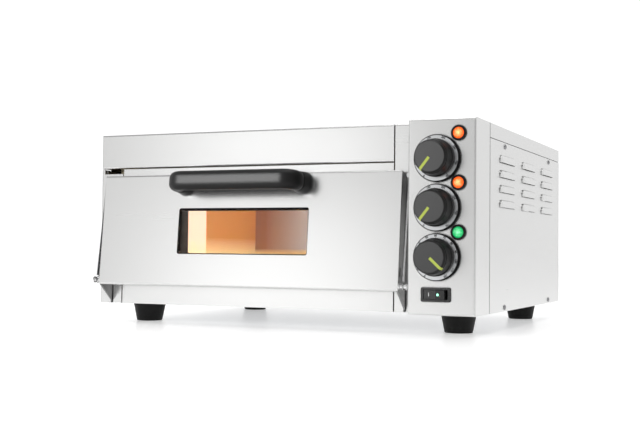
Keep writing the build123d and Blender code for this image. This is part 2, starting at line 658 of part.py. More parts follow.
def lamp_glass():
    """Domed cover over the chamber lamp, seated on its socket."""
    x0 = CHAMBER_X1 + CHAMBER_SKIN
    cover = rod_x(x0 - LAMP_GLASS_H, x0, LAMP_Y, LAMP_Z, LAMP_GLASS_R)
    return fillet(cover.edges().group_by(Axis.X)[0], LAMP_GLASS_EDGE)


# ---------------------------------------------------------------- controls
def dial_plates():
    """Three round scale plates, each with a shallow step for its printed ring."""
    plates = []
    for z in DIAL_Z.values():
        plate = rod_y(DIAL_X, PANEL_Y - DIAL_T, PANEL_Y, z, DIAL_R)
        plate = fillet(plate.edges().group_by(Axis.Y)[0], 1.2)
        plates.append(plate - rod_y(DIAL_X, PANEL_Y - DIAL_T - OVER, PANEL_Y + OVER, z, SHAFT_HOLE_R))
    return Part() + plates


def at_knob(name, shape):
    """Places a shape made round the Z axis onto a dial: +Z points out, +Y at the pointer."""
    turned = Rot(0, 0, -POINTER_ANGLES[name]) * shape
    return Pos(DIAL_X, KNOB_BACK_Y, DIAL_Z[name]) * Rot(90, 0, 0) * turned


def knob_blank():
    """Turned form: a short skirt, a tapering side, a shallow groove and a bevelled face."""
    neck = KNOB_FACE_R + 1.4
    outline = Polyline((0, 0), (KNOB_R, 0), (KNOB_R, 4.0), (KNOB_R - 1.2, 5.2), (neck + 0.6, 19.6),
                       (neck - 0.4, 20.2), (neck, 20.8), (neck, 22.6), (KNOB_FACE_R, KNOB_H - 0.6),
                       (KNOB_FACE_R - 0.6, KNOB_H), (0, KNOB_H), close=True)
    return revolve(Plane.XZ * make_face(outline), axis=Axis.Z)


def pointer_slot():
    """The pointer's groove: along the face from just past the middle, then down the side."""
    face = block(-POINTER_W / 2, POINTER_W / 2, POINTER_START, KNOB_R, KNOB_H - POINTER_DEPTH, KNOB_H + OVER)
    side = block(-POINTER_W / 2, POINTER_W / 2, KNOB_FACE_R - POINTER_DEPTH, KNOB_R,
                 KNOB_H - 6.0, KNOB_H + OVER)
    return face + side


def knob(name):
    bore = rod_z(0, 0, -OVER, SHAFT_GRIP, SHAFT_R)
    return at_knob(name, knob_blank() - pointer_slot() - bore)


def pointer(name):
    return at_knob(name, knob_blank() & pointer_slot())


def knob_shaft(name):
    """Round spindle from inside the knob to inside the regulator."""
    front = KNOB_BACK_Y - SHAFT_GRIP
    return rod_y(DIAL_X, front, PANEL_Y + SKIN + SHAFT_DEPTH - 2, DIAL_Z[name], SHAFT_R)


def regulator_body(z, half_w, half_h, depth):
    """A boxed switch behind the panel, with a blind bore for its spindle."""
    y0 = PANEL_Y + SKIN
    body = block(DIAL_X - half_w, DIAL_X + half_w, y0, y0 + depth, z - half_h, z + half_h)
    body = chamfer(body.edges().group_by(Axis.Y)[-1], 2.0)
    return body - rod_y(DIAL_X, y0 - OVER, y0 + SHAFT_DEPTH, z, SHAFT_R + RUNNING)


def thermostats():
    return Part() + [regulator_body(DIAL_Z[name], *THERMOSTAT) for name in ("upper", "lower")]


def timer_body():
    return regulator_body(DIAL_Z["timer"], *TIMER)


def capillary_tubes():
    """Each thermostat's thin tube, into the chamber and along its wall to the sensing bulb."""
    tubes = []
    bulb_x = CHAMBER_X1 - BULB_R - BULB_WALL_GAP
    start_y = PANEL_Y + SKIN + THERMOSTAT[2]
    for index, name in enumerate(("upper", "lower")):
        z = DIAL_Z[name]
        y, low = bulb_y(index), bulb_z(index)
        x = DIAL_X - TUBE_INSET
        bulb_start = y + BULB_LEAD
        points = [(x, start_y, z), (x, y, z), (x, y, low), (bulb_x, y, low), (bulb_x, bulb_start, low)]
        tube = pipe(points, CAPILLARY_R, TUBE_BEND)
        tubes.append(tube + rod_y(bulb_x, bulb_start - BULB_R, bulb_start + BULB_L, low, BULB_R))
    return Compound(children=tubes)


def terminal_block():
    return block(DIAL_X - TERMINAL_LEFT, DIAL_X + TERMINAL_RIGHT, TERMINAL_Y,
                 TERMINAL_Y + TERMINAL_D, SKIN, TERMINAL_Z)


def wiring_loom():
    """Cable bundles from the regulators and the switch to the terminal block."""
    bundles = []
    end_y = TERMINAL_Y + TERMINAL_D / 2
    for index, (name, size) in enumerate((("timer", TIMER), ("lower", THERMOSTAT), ("upper", THERMOSTAT))):
        x, z = DIAL_X + LOOM_PITCH * index, DIAL_Z[name]
        start = PANEL_Y + SKIN + size[2]
        bundles.append(pipe([(x, start, z), (x, end_y, z), (x, end_y, TERMINAL_Z)], LOOM_R,
                            LOOM_BEND))
    y0 = PANEL_Y + SWITCH_BODY_D
    bundles.append(rod_y(DIAL_X - 8, y0, TERMINAL_Y, SWITCH_Z - 6, SWITCH_LOOM_R))
    return Compound(children=bundles)


def indicator_bezels():
    rings = []
    for z in DIAL_Z.values():
        lamp_z = z + LAMP_RISE
        ring = rod_y(LAMP_X, PANEL_Y - BEZEL_T, PANEL_Y, lamp_z, LAMP_R)
        ring = fillet(ring.edges().group_by(Axis.Y)[0], BEZEL_EDGE)
        ring += rod_y(LAMP_X, PANEL_Y, PANEL_Y + LAMP_BARREL_L, lamp_z, LAMP_BARREL_R)
        rings.append(ring - rod_y(LAMP_X, PANEL_Y - OVER, LENS_BACK_Y, lamp_z, LENS_R))
    return Part() + rings


def lens(name):
    """A domed lens standing a little out of its bezel."""
    z = DIAL_Z[name] + LAMP_RISE
    body = rod_y(LAMP_X, PANEL_Y - LENS_OUT, LENS_BACK_Y, z, LENS_R)
    return fillet(body.edges().group_by(Axis.Y)[0], LENS_DOME)


def orange_lenses():
    return Part() + [lens("upper"), lens("lower")]


def green_lens():
    return lens("timer")


# ---------------------------------------------------------------- rocker switch
def switch_body_form():
    """The switch's body where it passes through the panel, in the switch's own place."""
    half_w, half_h = SWITCH_W / 2 - SWITCH_LIP_X, SWITCH_H / 2 - SWITCH_LIP_Z
    return block(-half_w, half_w, 0, SWITCH_BODY_D, -half_h, half_h)


def switch_frame():
    half_w, half_h = SWITCH_W / 2, SWITCH_H / 2
    rim = block(-half_w, half_w, -SWITCH_RIM, 0, -half_h, half_h)
    rim = fillet(rim.edges().filter_by(Axis.Y), 2.0)
    well_w = ROCKER_W / 2 + 4 * ROCKER_CLEAR + 0.3
    well_h = ROCKER_H / 2 + ROCKER_CLEAR
    frame = rim + switch_body_form()
    frame -= block(-well_w, well_w, -OVER, SWITCH_WELL_D, -well_h, well_h)
    bore = well_h + TRUNNION_BORE
    frame -= rod_z(0, ROCKER_PIVOT, -bore, bore, TRUNNION_R + RUNNING)
    return Pos(SWITCH_X, PANEL_Y, SWITCH_Z) * frame


def switch_paddle():
    """Rocker with two faces that meet in a shallow valley, at rest with its left side pressed."""
    half = ROCKER_W / 2
    rise = half * tan(radians(ROCKER_TILT))
    valley = -SWITCH_RIM + ROCKER_VALLEY
    cheek = valley + ROCKER_CHEEK
    back = half - ROCKER_TAPER
    outline = Polyline((-half, valley - rise), (0, valley), (half, valley - rise),
                       (half, cheek), (back, ROCKER_DEPTH), (-back, ROCKER_DEPTH),
                       (-half, cheek), close=True)
    body = extrude(make_face(outline), amount=ROCKER_H / 2, both=True)
    trunnion = ROCKER_H / 2 + ROCKER_CLEAR + TRUNNION_REACH
    body += rod_z(0, ROCKER_PIVOT, -trunnion, trunnion, TRUNNION_R)
    rocked = Pos(0, ROCKER_PIVOT, 0) * Rot(0, 0, -ROCKER_TILT) * Pos(0, -ROCKER_PIVOT, 0) * body
    return Pos(SWITCH_X, PANEL_Y, SWITCH_Z) * rocked


# ---------------------------------------------------------------- feet and gland
def foot_places():
    return [(x, y) for x in (FOOT_LEFT, BODY_W - FOOT_RIGHT) for y in (FOOT_FRONT, BODY_D - FOOT_BACK)]


def feet():
    """Tapered moulded feet, each with a counterbore for its screw."""
    foot = Pos(0, 0, -FOOT_H / 2) * Cone(FOOT_LOW_R, FOOT_TOP_R, FOOT_H)
    foot = fillet(foot.edges().group_by(Axis.Z)[0], 1.5)
    foot -= Pos(0, 0, -FOOT_H / 2) * Cylinder(FOOT_SCREW_R, FOOT_H + OVER)
    foot -= Pos(0, 0, -FOOT_H) * Cylinder(FOOT_BORE_R, 2 * FOOT_BORE_L)
    return Part() + [Pos(x, y, 0) * foot for x, y in foot_places()]


def foot_screws():
    """A pan-head screw up through each foot and the pan, with its nut."""
    seat = -FOOT_H + FOOT_BORE_L
    screw = rod_z(0, 0, seat - 4, seat, 6.0) + rod_z(0, 0, seat, SKIN + 6.0, FOOT_SCREW_R)
    nut = Pos(0, 0, SKIN) * extrude(RegularPolygon(5.0, 6, major_radius=False), 5.0)
    nut -= rod_z(0, 0, -OVER, SKIN + 2 * OVER, FOOT_SCREW_R)
    pieces = []
    for x, y in foot_places():
        pieces += [Pos(x, y, 0) * screw, Pos(x, y, 0) * nut]
    return Compound(children=pieces)


def cable_gland():
    """Gland for the mains cord through the back panel, with its lock nut inside."""
    inside = BODY_D - SKIN - GLAND_IN
    gland = rod_y(GLAND_X, inside, BODY_D, GLAND_Z, GLAND_R)
    gland += rod_y(GLAND_X, BODY_D, BODY_D + 7, GLAND_Z, GLAND_FLANGE_R)
    cap = rod_y(GLAND_X, BODY_D + 7, Y_HIGH, GLAND_Z, GLAND_FLANGE_R - 1.5)
    gland += fillet(cap.edges().group_by(Axis.Y)[-1], 3.0)
    gland -= rod_y(GLAND_X, inside - OVER, Y_HIGH + OVER, GLAND_Z, GLAND_BORE_R)
    nut_back = Plane((GLAND_X, BODY_D - SKIN, GLAND_Z), z_dir=(0, -1, 0))
    nut = extrude(nut_back * RegularPolygon(GLAND_FLANGE_R, 6, major_radius=False), 5.0)
    nut -= rod_y(GLAND_X, 0, BODY_D + OVER, GLAND_Z, GLAND_R)
    return Compound(children=[gland, nut])


# ---------------------------------------------------------------- door
DOOR = Pos(0, -DOOR_BOTTOM_GAP, DOOR_BOTTOM_Z) * Rot(-degrees(DOOR_TILT), 0, 0)


def door_point(y, z):
    """World Y and Z of a point given in the leaning sheet's frame: y inwards, z up the sheet."""
    return (-DOOR_BOTTOM_GAP + y * cos(DOOR_TILT) + z * sin(DOOR_TILT),
            DOOR_BOTTOM_Z - y * sin(DOOR_TILT) + z * cos(DOOR_TILT))


def window_prism(margin):
    """The window's passage through the door, drawn in by margin on every side."""
    hole = Pos(WINDOW_MID, (WINDOW_Z0 + WINDOW_Z1) / 2) * RectangleRounded(
        WINDOW_W - 2 * margin, WINDOW_H - 2 * margin, 3.0 - margin * 0.5)
    return extrude(Plane.XZ * hole, amount=60, both=True)


def grip_mid():
    """Middle of the grip in the sheet's frame: out from its face and up from its lower edge."""
    return -GRIP_OUT, DOOR_L - GRIP_DROP


def grip_ends():
    return WINDOW_MID - GRIP_L / 2 + GRIP_T / 2, WINDOW_MID + GRIP_L / 2 - GRIP_T / 2


def handle_bores():
    """Holes for the handle's screws, through the sheet and into the posts."""
    _, z = grip_mid()
    return Part() + [rod_y(x, HANDLE_SCREW_STOP - POST_L, OVER, z, HANDLE_SCREW_R) for x in grip_ends()]


def door_outer_sheet():
    """Flat leaning sheet, folded back along its top and bottom between the arms."""
    sheet = tray(DOOR_X0, DOOR_X1, 0, DOOR_FOLD, 0, DOOR_L, "BT")
    for x, _ in ARM_SIDES:
        sheet -= block(x - OVER * 0.2, x + ARM_T + 0.2, SKIN, 20.0, -OVER, DOOR_L + OVER)
    return DOOR * (sheet - handle_bores()) - window_prism(0)


def stud_place():
    return door_point(SKIN + STUD_BACK, STUD_RISE)


def door_arms():
    """Side plates: a tall gusset behind the sheet, narrowing to a tail round the hinge pin."""
    low, high = door_point(SKIN, 0), door_point(SKIN, DOOR_L)
    outline = Polyline(low, high, (-ARM_CLEAR, high[1] - ARM_TOP_DROP),
                       (-ARM_CLEAR, PIVOT_Z + 2 * LOBE_R), (PIVOT_Y, PIVOT_Z + LOBE_R),
                       (PIVOT_Y, PIVOT_Z - LOBE_R), (-ARM_CLEAR, PIVOT_Z - 9.0), close=True)
    stud_y, stud_z = stud_place()
    slot = extrude(Plane.YZ * Rot(0, 0, 90 - degrees(DOOR_TILT)) * SlotOverall(ARM_SLOT_L, ARM_SLOT_W),
                   amount=OVER, both=True)
    arms = []
    for x, _ in ARM_SIDES:
        arm = Pos(x, 0, 0) * extrude(Plane.YZ * make_face(outline), amount=ARM_T)
        arm += rod_x(x, x + ARM_T, PIVOT_Y, PIVOT_Z, LOBE_R)
        arm -= rod_x(x - OVER, x + OVER, PIVOT_Y, PIVOT_Z, PIN_R + RUNNING)
        arm -= rod_x(x - OVER, x + OVER, stud_y, stud_z, STUD_R)
        arm -= Pos(x, *door_point(*ARM_SLOT)) * slot
        arms.append(arm)
    return Part() + arms


def door_inner_pan():
    """Inner face of the door: a flange that meets the frame, with a shallow box in the mouth."""
    y0 = -PAN_FLANGE_GAP - PAN_SKIN
    x0, x1 = MOUTH_X0 + PAN_GAP, MOUTH_X1 - PAN_GAP
    z0, z1 = MOUTH_Z + PAN_GAP, MOUTH_TOP_Z - PAN_GAP
    over = PAN_FLANGE_OVER
    pan = block(x0 - over, x1 + over, y0, y0 + PAN_SKIN, z0 - over, z1 + over)
    pan += block(x0, x1, y0, PAN_DEPTH, z0, z1)
    skin = PAN_SKIN
    pan -= block(x0 + skin, x1 - skin, y0 - OVER, PAN_DEPTH - skin, z0 + skin, z1 - skin)
    struts = Part()
    for x in (x0 - over, x1 + over - skin):
        struts += block(x, x + skin, -60, y0, z0 - over, z1 + over)
    struts &= DOOR * block(DOOR_X0, DOOR_X1, SKIN, 100, -100, 300)
    return pan + struts - window_prism(0)


def window_frame():
    """Blackened passage round the window, from the sheet to the inner pan, with a bar at its top."""
    tunnel = window_prism(0) - window_prism(WINDOW_WALL)
    tunnel &= block(WINDOW_X0 - OVER, WINDOW_X1 + OVER, -60, PAN_DEPTH, 0, BODY_H)
    tunnel &= DOOR * block(0, FRONT_W, SKIN, 100, -50, 300)
    bar = block(WINDOW_X0 + WINDOW_WALL / 2, WINDOW_X1 - WINDOW_WALL / 2, -60, PAN_DEPTH,
                WINDOW_Z1 - WINDOW_BAR, WINDOW_Z1 - WINDOW_WALL / 2)
    pane_back = PANE_SET + GLASS_T
    bar &= DOOR * block(0, FRONT_W, pane_back, pane_back + WINDOW_BAR_D, -50, 300)
    return tunnel + bar


def window_glasses():
    """Two panes inside the window's passage."""
    prism = window_prism(WINDOW_WALL)
    outer = prism & DOOR * block(0, FRONT_W, PANE_SET, PANE_SET + GLASS_T, -50, 300)
    inner_back = PAN_DEPTH - PANE_INSET
    inner = prism & block(0, FRONT_W, inner_back - GLASS_T, inner_back, 0, BODY_H)
    return Compound(children=[outer, inner])


def grip_section():
    return RectangleRounded(GRIP_T, GRIP_H, GRIP_EDGE)


def handle_grip():
    """Straight bar whose ends bend back towards the sheet."""
    y, z = grip_mid()
    left, right = grip_ends()
    path = FilletPolyline((left, -POST_L, z), (left, y, z), (right, y, z), (right, -POST_L, z),
                          radius=GRIP_BEND)
    start = Plane(path @ 0, x_dir=(1, 0, 0), z_dir=path % 0)
    return DOOR * sweep(start * grip_section(), path=path)


def handle_posts():
    """Two posts that flare from the grip's ends to their feet on the sheet."""
    _, z = grip_mid()
    posts = []
    for x in grip_ends():
        top = Plane((x, -POST_L, z), x_dir=(1, 0, 0), z_dir=(0, -1, 0)) * grip_section()
        foot = Plane((x, 0, z), x_dir=(1, 0, 0), z_dir=(0, -1, 0)) * RectangleRounded(
            POST_FOOT_W, POST_FOOT_H, POST_FOOT_EDGE)
        posts.append(loft([foot, top]))
    return DOOR * (Part() + posts - handle_bores())


def door_screws():
    """The handle's screws, their heads behind the sheet."""
    _, z = grip_mid()
    screws = []
    for x in grip_ends():
        screw = rod_y(x, HANDLE_SCREW_STOP - POST_L, SKIN, z, HANDLE_SCREW_R)
        screws.append(screw + rod_y(x, SKIN, SKIN + HANDLE_SCREW_HEAD, z, 2 * HANDLE_SCREW_R))
    return DOOR * (Part() + screws)


# ---------------------------------------------------------------- hinge and springs
def ear_span(arm_x):
    """Outer faces of the two ears that hold an arm's tail between them."""
    return arm_x - EAR_GAP - EAR_T, arm_x + ARM_T + EAR_GAP + EAR_T


def hinge_brackets():
    """Behind each jamb: two ears either side of the arm's tail, a web and a flange."""
    brackets = []
    y0, y1 = SKIN, PIVOT_Y + LOBE_R + EAR_WEB_GAP
    for x, _ in ARM_SIDES:
        x0, x1 = ear_span(x)
        ears = block(x0, x1, y0, y1, EAR_LOW_Z, EAR_HIGH_Z)
        ears -= block(x0 + EAR_T, x1 - EAR_T, 0, y1 - EAR_T, 0, EAR_HIGH_Z + OVER)
        ears += block(x0 - EAR_FLANGE, x0, y0, y0 + EAR_T, EAR_LOW_Z, EAR_HIGH_Z)
        ears += block(x1, x1 + EAR_FLANGE, y0, y0 + EAR_T, EAR_LOW_Z, EAR_HIGH_Z)
        brackets.append(ears - rod_x(x0 - OVER, x1 + OVER, PIVOT_Y, PIVOT_Z, PIN_R))
    return Part() + brackets


def hinge_pins():
    pins = []
    for x, _ in ARM_SIDES:
        x0, x1 = ear_span(x)
        pin = rod_x(x0 - PIN_HEAD, x1 + PIN_HEAD, PIVOT_Y, PIVOT_Z, PIN_R)
        pins.append(pin + rod_x(x0 - PIN_HEAD, x0, PIVOT_Y, PIVOT_Z, PIN_R + PIN_HEAD))
    return Part() + pins


def anchor_x(arm_x, way):
    """Middle of a spring, outboard of its arm."""
    return arm_x - SPRING_OUT if way < 0 else arm_x + ARM_T + SPRING_OUT


def anchor_z():
    return HOOD_Z - ANCHOR_DROP


def spring_anchors():
    """Headed pegs on the jambs that hold the springs' upper loops."""
    pegs = []
    z = anchor_z()
    for side in ARM_SIDES:
        x = anchor_x(*side)
        neck = -ANCHOR_OUT - ANCHOR_NECK
        peg = rod_y(x, neck, SKIN, z, ANCHOR_R)
        peg += rod_y(x, neck - ANCHOR_HEAD_T, neck, z, ANCHOR_HEAD_R)
        pegs.append(peg + rod_y(x, SKIN, SKIN + ANCHOR_RIVET_T, z, ANCHOR_RIVET_R))
    return Part() + pegs


def spring_studs():
    """Bolts through the arms, each with two washers either side of the spring's lower loop."""
    y, z = stud_place()
    studs = []
    for x, way in ARM_SIDES:
        face = x if way < 0 else x + ARM_T
        reach = 2 * SPRING_OUT + STUD_END
        stud = rod_x(face - way * ARM_T, face + way * reach, y, z, STUD_R)
        for start, thick, radius in ((0.0, WASHER_T, INNER_WASHER_R),
                                     (2 * SPRING_OUT - WASHER_T, WASHER_T, OUTER_WASHER_R),
                                     (2 * SPRING_OUT, STUD_END, STUD_END_R),
                                     (-ARM_T - STUD_NUT_T, STUD_NUT_T, STUD_NUT_R)):
            stud += rod_x(face + way * start, face + way * (start + thick), y, z, radius)
        studs.append(stud)
    return Part() + studs


def door_springs():
    """Extension springs as plain bars of the coils' outer size, with a wire loop at each end."""
    stud_y, stud_z = stud_place()
    springs = []
    for side in ARM_SIDES:
        x = anchor_x(*side)
        top, low = Vector(x, -ANCHOR_OUT, anchor_z()), Vector(x, stud_y, stud_z)
        way = (low - top).normalized()
        start, end = top + way * (LOOP_R + 0.2), low - way * (LOOP_R + 0.2)
        coil = Plane(start, z_dir=way) * extrude(Circle(SPRING_R), (end - start).length)
        coil += Plane(top, z_dir=(0, 1, 0)) * Torus(LOOP_R, SPRING_WIRE_R)
        coil += Plane(low, z_dir=(1, 0, 0)) * Torus(LOOP_R, SPRING_WIRE_R)
        springs.append(coil)
    return Part() + springs


# ---------------------------------------------------------------- all nodes
def all_nodes():
    fixed = (base_pan, left_side_panel, right_side_panel, top_cover, back_panel, hood_panel,
             left_jamb, right_jamb, lower_front_panel, front_frame, control_panel, control_divider,
             chamber_left_wall, chamber_right_wall, chamber_back_wall, chamber_ceiling,
             chamber_floor, insulation, baking_stone, lamp_holder, lamp_glass, dial_plates,
             thermostats, timer_body, capillary_tubes, terminal_block, wiring_loom,
             indicator_bezels, orange_lenses, green_lens, switch_frame, switch_paddle, feet,
             foot_screws, cable_gland, casing_screws, hinge_brackets, hinge_pins, spring_anchors,
             spring_studs, door_springs, door_outer_sheet, door_arms, door_inner_pan,
             window_frame, window_glasses, handle_grip, handle_posts, door_screws)
    nodes = {make.__name__: make() for make in fixed}
    nodes["upper_heater"] = heater(UPPER_HEATER_Z)
    nodes["lower_heater"] = heater(LOWER_HEATER_Z)
    for name in DIAL_Z:
        nodes[name + "_knob"] = knob(name)
        nodes[name + "_pointer"] = pointer(name)
        nodes[name + "_shaft"] = knob_shaft(name)
    return nodes


def save(name, shape):
    export_step(SHIFT * shape, f"parts/{name}.step")


os.makedirs("parts", exist_ok=True)
for node_name, node_shape in all_nodes().items():
    save(node_name, node_shape)
print("origin shift", SHIFT.position, "door tilt", degrees(DOOR_TILT))
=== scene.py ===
import json
import math

import bpy
from mathutils import Matrix, Vector
from mathutils.bvhtree import BVHTree


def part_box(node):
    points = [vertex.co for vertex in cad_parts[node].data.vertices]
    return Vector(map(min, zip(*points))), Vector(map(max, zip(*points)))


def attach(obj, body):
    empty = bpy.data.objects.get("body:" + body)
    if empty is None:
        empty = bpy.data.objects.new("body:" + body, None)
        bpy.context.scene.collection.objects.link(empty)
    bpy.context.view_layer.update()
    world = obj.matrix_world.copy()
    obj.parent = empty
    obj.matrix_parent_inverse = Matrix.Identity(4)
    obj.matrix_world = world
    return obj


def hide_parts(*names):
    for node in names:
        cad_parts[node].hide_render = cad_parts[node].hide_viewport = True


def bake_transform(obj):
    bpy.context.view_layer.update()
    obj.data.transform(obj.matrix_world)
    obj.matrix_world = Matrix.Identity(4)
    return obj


# Looks of the countertop pizza oven: materials, wound springs, printed marks, lights and camera.
# Lengths are metres in the CAD frame: X right, Y back, Z up, the floor at Z=0.
MM = 0.001
BACKDROP = 1.12         # brightness of the plain backdrop

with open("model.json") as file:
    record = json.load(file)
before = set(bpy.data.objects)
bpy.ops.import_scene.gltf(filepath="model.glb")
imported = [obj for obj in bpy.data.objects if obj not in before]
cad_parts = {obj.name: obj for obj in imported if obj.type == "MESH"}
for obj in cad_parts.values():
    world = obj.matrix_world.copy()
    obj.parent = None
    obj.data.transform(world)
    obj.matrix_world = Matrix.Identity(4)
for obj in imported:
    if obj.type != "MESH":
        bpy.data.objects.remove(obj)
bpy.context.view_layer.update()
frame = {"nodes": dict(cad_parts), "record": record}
nodes = frame["nodes"]


# ---------------------------------------------------------------- material helpers
def new_material(name, color, metallic=0.0, roughness=0.5, **sockets):
    """A principled material; extra sockets are given by name with _ for a space."""
    made = bpy.data.materials.new(name)
    made.use_nodes = True
    shader = made.node_tree.nodes["Principled BSDF"]
    shader.inputs["Base Color"].default_value = (*color, 1.0)
    shader.inputs["Metallic"].default_value = metallic
    shader.inputs["Roughness"].default_value = roughness
    for socket, value in sockets.items():
        value = (*value, 1.0) if isinstance(value, tuple) else value
        shader.inputs[socket.replace("_", " ")].default_value = value
    made.diffuse_color = (*color, 1.0)
    return made


def add_node(made, kind, **settings):
    """A shader node of one kind, with its settings, in a material or the world."""
    node = made.node_tree.nodes.new("ShaderNode" + kind)
    for key, value in settings.items():
        setattr(node, key, value)
    return node


def shader_of(made):
    """A material's principled shader."""
    return made.node_tree.nodes["Principled BSDF"]


def link(made, source, target):
    """Joins an output to an input in a material or the world."""
    made.node_tree.links.new(source, target)


def object_point(made, scale):
    """Object coordinates, stretched by scale along each axis."""
    coordinate = add_node(made, "TexCoord")
    stretch = add_node(made, "VectorMath", operation="MULTIPLY")
    stretch.inputs[1].default_value = scale
    link(made, coordinate.outputs["Object"], stretch.inputs[0])
    return stretch.outputs["Vector"]


def noise(made, scale, detail=2.0, stretch=(1, 1, 1)):
    """A cloudy factor between 0 and 1, its middle near 0.5."""
    texture = add_node(made, "TexNoise")
    texture.inputs["Scale"].default_value = scale
    texture.inputs["Detail"].default_value = detail
    link(made, object_point(made, stretch), texture.inputs["Vector"])
    return texture.outputs["Fac"]


def ranged(made, source, low, high, from_low=0.25, from_high=0.75):
    """A value that runs from low to high while its source runs over the given range."""
    span = add_node(made, "MapRange")
    for socket, value in (("From Min", from_low), ("From Max", from_high),
                          ("To Min", low), ("To Max", high)):
        span.inputs[socket].default_value = value
    link(made, source, span.inputs["Value"])
    return span.outputs["Result"]


def mixed(made, factor, first, second):
    """A colour between two, each a tuple or another node's output."""
    blend = add_node(made, "Mix", data_type="RGBA")
    link(made, factor, blend.inputs["Factor"])
    for socket, value in ((blend.inputs["A"], first), (blend.inputs["B"], second)):
        if isinstance(value, tuple):
            socket.default_value = (*value, 1.0)
        else:
            link(made, value, socket)
    return blend.outputs["Result"]


BEVEL_SAMPLES = 4
AO_SAMPLES = 6


def bumpy(made, source, distance, strength=1.0, edges=0.0):
    """Relief from a factor, over edges that look rounded to the given radius."""
    bump = add_node(made, "Bump")
    bump.inputs["Distance"].default_value = distance
    bump.inputs["Strength"].default_value = strength
    link(made, source, bump.inputs["Height"])
    if edges:
        bevel = add_node(made, "Bevel", samples=BEVEL_SAMPLES)
        bevel.inputs["Radius"].default_value = edges
        link(made, bevel.outputs["Normal"], bump.inputs["Normal"])
    link(made, bump.outputs["Normal"], shader_of(made).inputs["Normal"])


# ---------------------------------------------------------------- materials
STREAK_DETAIL = 3.0
STREAK_ROUGHNESS = 0.002        # streaks change the roughness by this much either way
STREAK_TINT = 0.993             # the darker streaks' share of the sheet's colour
STREAK_DEPTH = 0.001 * MM
STREAK_STRENGTH = 0.015
CLOUD_SCALE = 9.0               # clouds per metre
CLOUD_ROUGHNESS = 0.003
SEAM_SHADE_REACH = 3.0 * MM        # painted shade: sheets darken within this distance of a seam
SEAM_SHADE_COLOR = (0.05, 0.05, 0.05)
SEAM_SHADE_OPEN = (0.3, 0.85)      # share of open sky where the painted shade is full, and where it ends


def brushed(name, color, roughness, stretch, edges=0.5 * MM):
    """Sheet steel with fine streaks along the unstretched axes, faint clouding and painted shade in its
    seams.
    """
    made = new_material(name, color, 1.0, roughness)
    streaks = noise(made, 1.0, STREAK_DETAIL, stretch)
    clouds = noise(made, CLOUD_SCALE, 1.0)
    streak_rough = ranged(made, streaks, roughness - STREAK_ROUGHNESS, roughness + STREAK_ROUGHNESS)
    together = add_node(made, "Math", operation="ADD")
    link(made, streak_rough, together.inputs[0])
    link(made, ranged(made, clouds, -CLOUD_ROUGHNESS, CLOUD_ROUGHNESS), together.inputs[1])
    link(made, together.outputs[0], shader_of(made).inputs["Roughness"])
    darker = tuple(STREAK_TINT * c for c in color)
    tint = mixed(made, ranged(made, streaks, 0.0, 1.0), darker, color)
    # Painted shade: where ambient occlusion finds a seam close by, the sheet's colour turns dark.
    seam_occlusion = add_node(made, "AmbientOcclusion", samples=AO_SAMPLES)
    seam_occlusion.inputs["Distance"].default_value = SEAM_SHADE_REACH
    open_share = ranged(made, seam_occlusion.outputs["AO"], 0.0, 1.0, *SEAM_SHADE_OPEN)
    shade = mixed(made, open_share, SEAM_SHADE_COLOR, tint)
    link(made, shade, shader_of(made).inputs["Base Color"])
    bumpy(made, streaks, STREAK_DEPTH, STREAK_STRENGTH, edges)
    return made


FACET_SCALE = 420.0             # facets of a lamp's lens, per metre
FACET_SHIFT = 3.0 * MM          # how far the facets break up the hot core
CORE_R = 1.5 * MM               # hot middle of a lit lens
RIM_R = 7.0 * MM
RIM_STRENGTH = 0.6              # the rim's share of the core's strength


def lens_material(name, rim, core, centres, strength):
    """A lit, faceted lens: its colour runs from rim to a hot core round the nearest centre."""
    made = new_material(name, rim, 0.0, 0.12, IOR=1.5)
    coordinate = add_node(made, "TexCoord")
    nearest = None
    for centre in centres:
        away = add_node(made, "VectorMath", operation="DISTANCE")
        away.inputs[1].default_value = centre
        link(made, coordinate.outputs["Object"], away.inputs[0])
        if nearest is None:
            nearest = away.outputs["Value"]
        else:
            least = add_node(made, "Math", operation="MINIMUM")
            link(made, nearest, least.inputs[0])
            link(made, away.outputs["Value"], least.inputs[1])
            nearest = least.outputs[0]
    facets = add_node(made, "TexVoronoi", feature="F1")
    facets.inputs["Scale"].default_value = FACET_SCALE
    link(made, coordinate.outputs["Object"], facets.inputs["Vector"])
    uneven = add_node(made, "Math", operation="MULTIPLY_ADD")
    uneven.inputs[1].default_value = FACET_SHIFT
    link(made, facets.outputs["Distance"], uneven.inputs[0])
    link(made, nearest, uneven.inputs[2])
    heat = ranged(made, uneven.outputs[0], 1.0, 0.0, CORE_R, RIM_R)
    shader = shader_of(made)
    link(made, mixed(made, heat, rim, core), shader.inputs["Emission Color"])
    link(made, ranged(made, heat, strength * RIM_STRENGTH, strength, 0.0, 1.0),
         shader.inputs["Emission Strength"])
    return made


FACE_NORMALS = (-0.97, -0.90)   # a normal's Y where a face still counts as front, and where as side


def faced_material(name, front, side, roughness, metallic):
    """Front faces in one colour, every other face in another."""
    made = new_material(name, front, metallic, roughness, Specular_IOR_Level=0.0)
    geometry = add_node(made, "NewGeometry")
    split = add_node(made, "SeparateXYZ")
    link(made, geometry.outputs["Normal"], split.inputs[0])
    is_side = ranged(made, split.outputs["Y"], 0.0, 1.0, *FACE_NORMALS)
    shader = shader_of(made)
    link(made, mixed(made, is_side, front, side), shader.inputs["Base Color"])
    link(made, ranged(made, is_side, metallic, 0.0, 0.0, 1.0), shader.inputs["Metallic"])
    return made


GRAIN_DETAIL = 6.0
GRAIN_SPAN = (0.35, 0.65)       # the grain's factor where one colour gives way to the other


def speckled(name, first, second, roughness, scale, depth, metallic=0.0):
    """Two colours in a grain, with the grain as a shallow relief."""
    made = new_material(name, first, metallic, roughness)
    grain = noise(made, scale, GRAIN_DETAIL)
    link(made, mixed(made, ranged(made, grain, 0.0, 1.0, *GRAIN_SPAN), first, second),
         shader_of(made).inputs["Base Color"])
    bumpy(made, grain, depth)
    return made


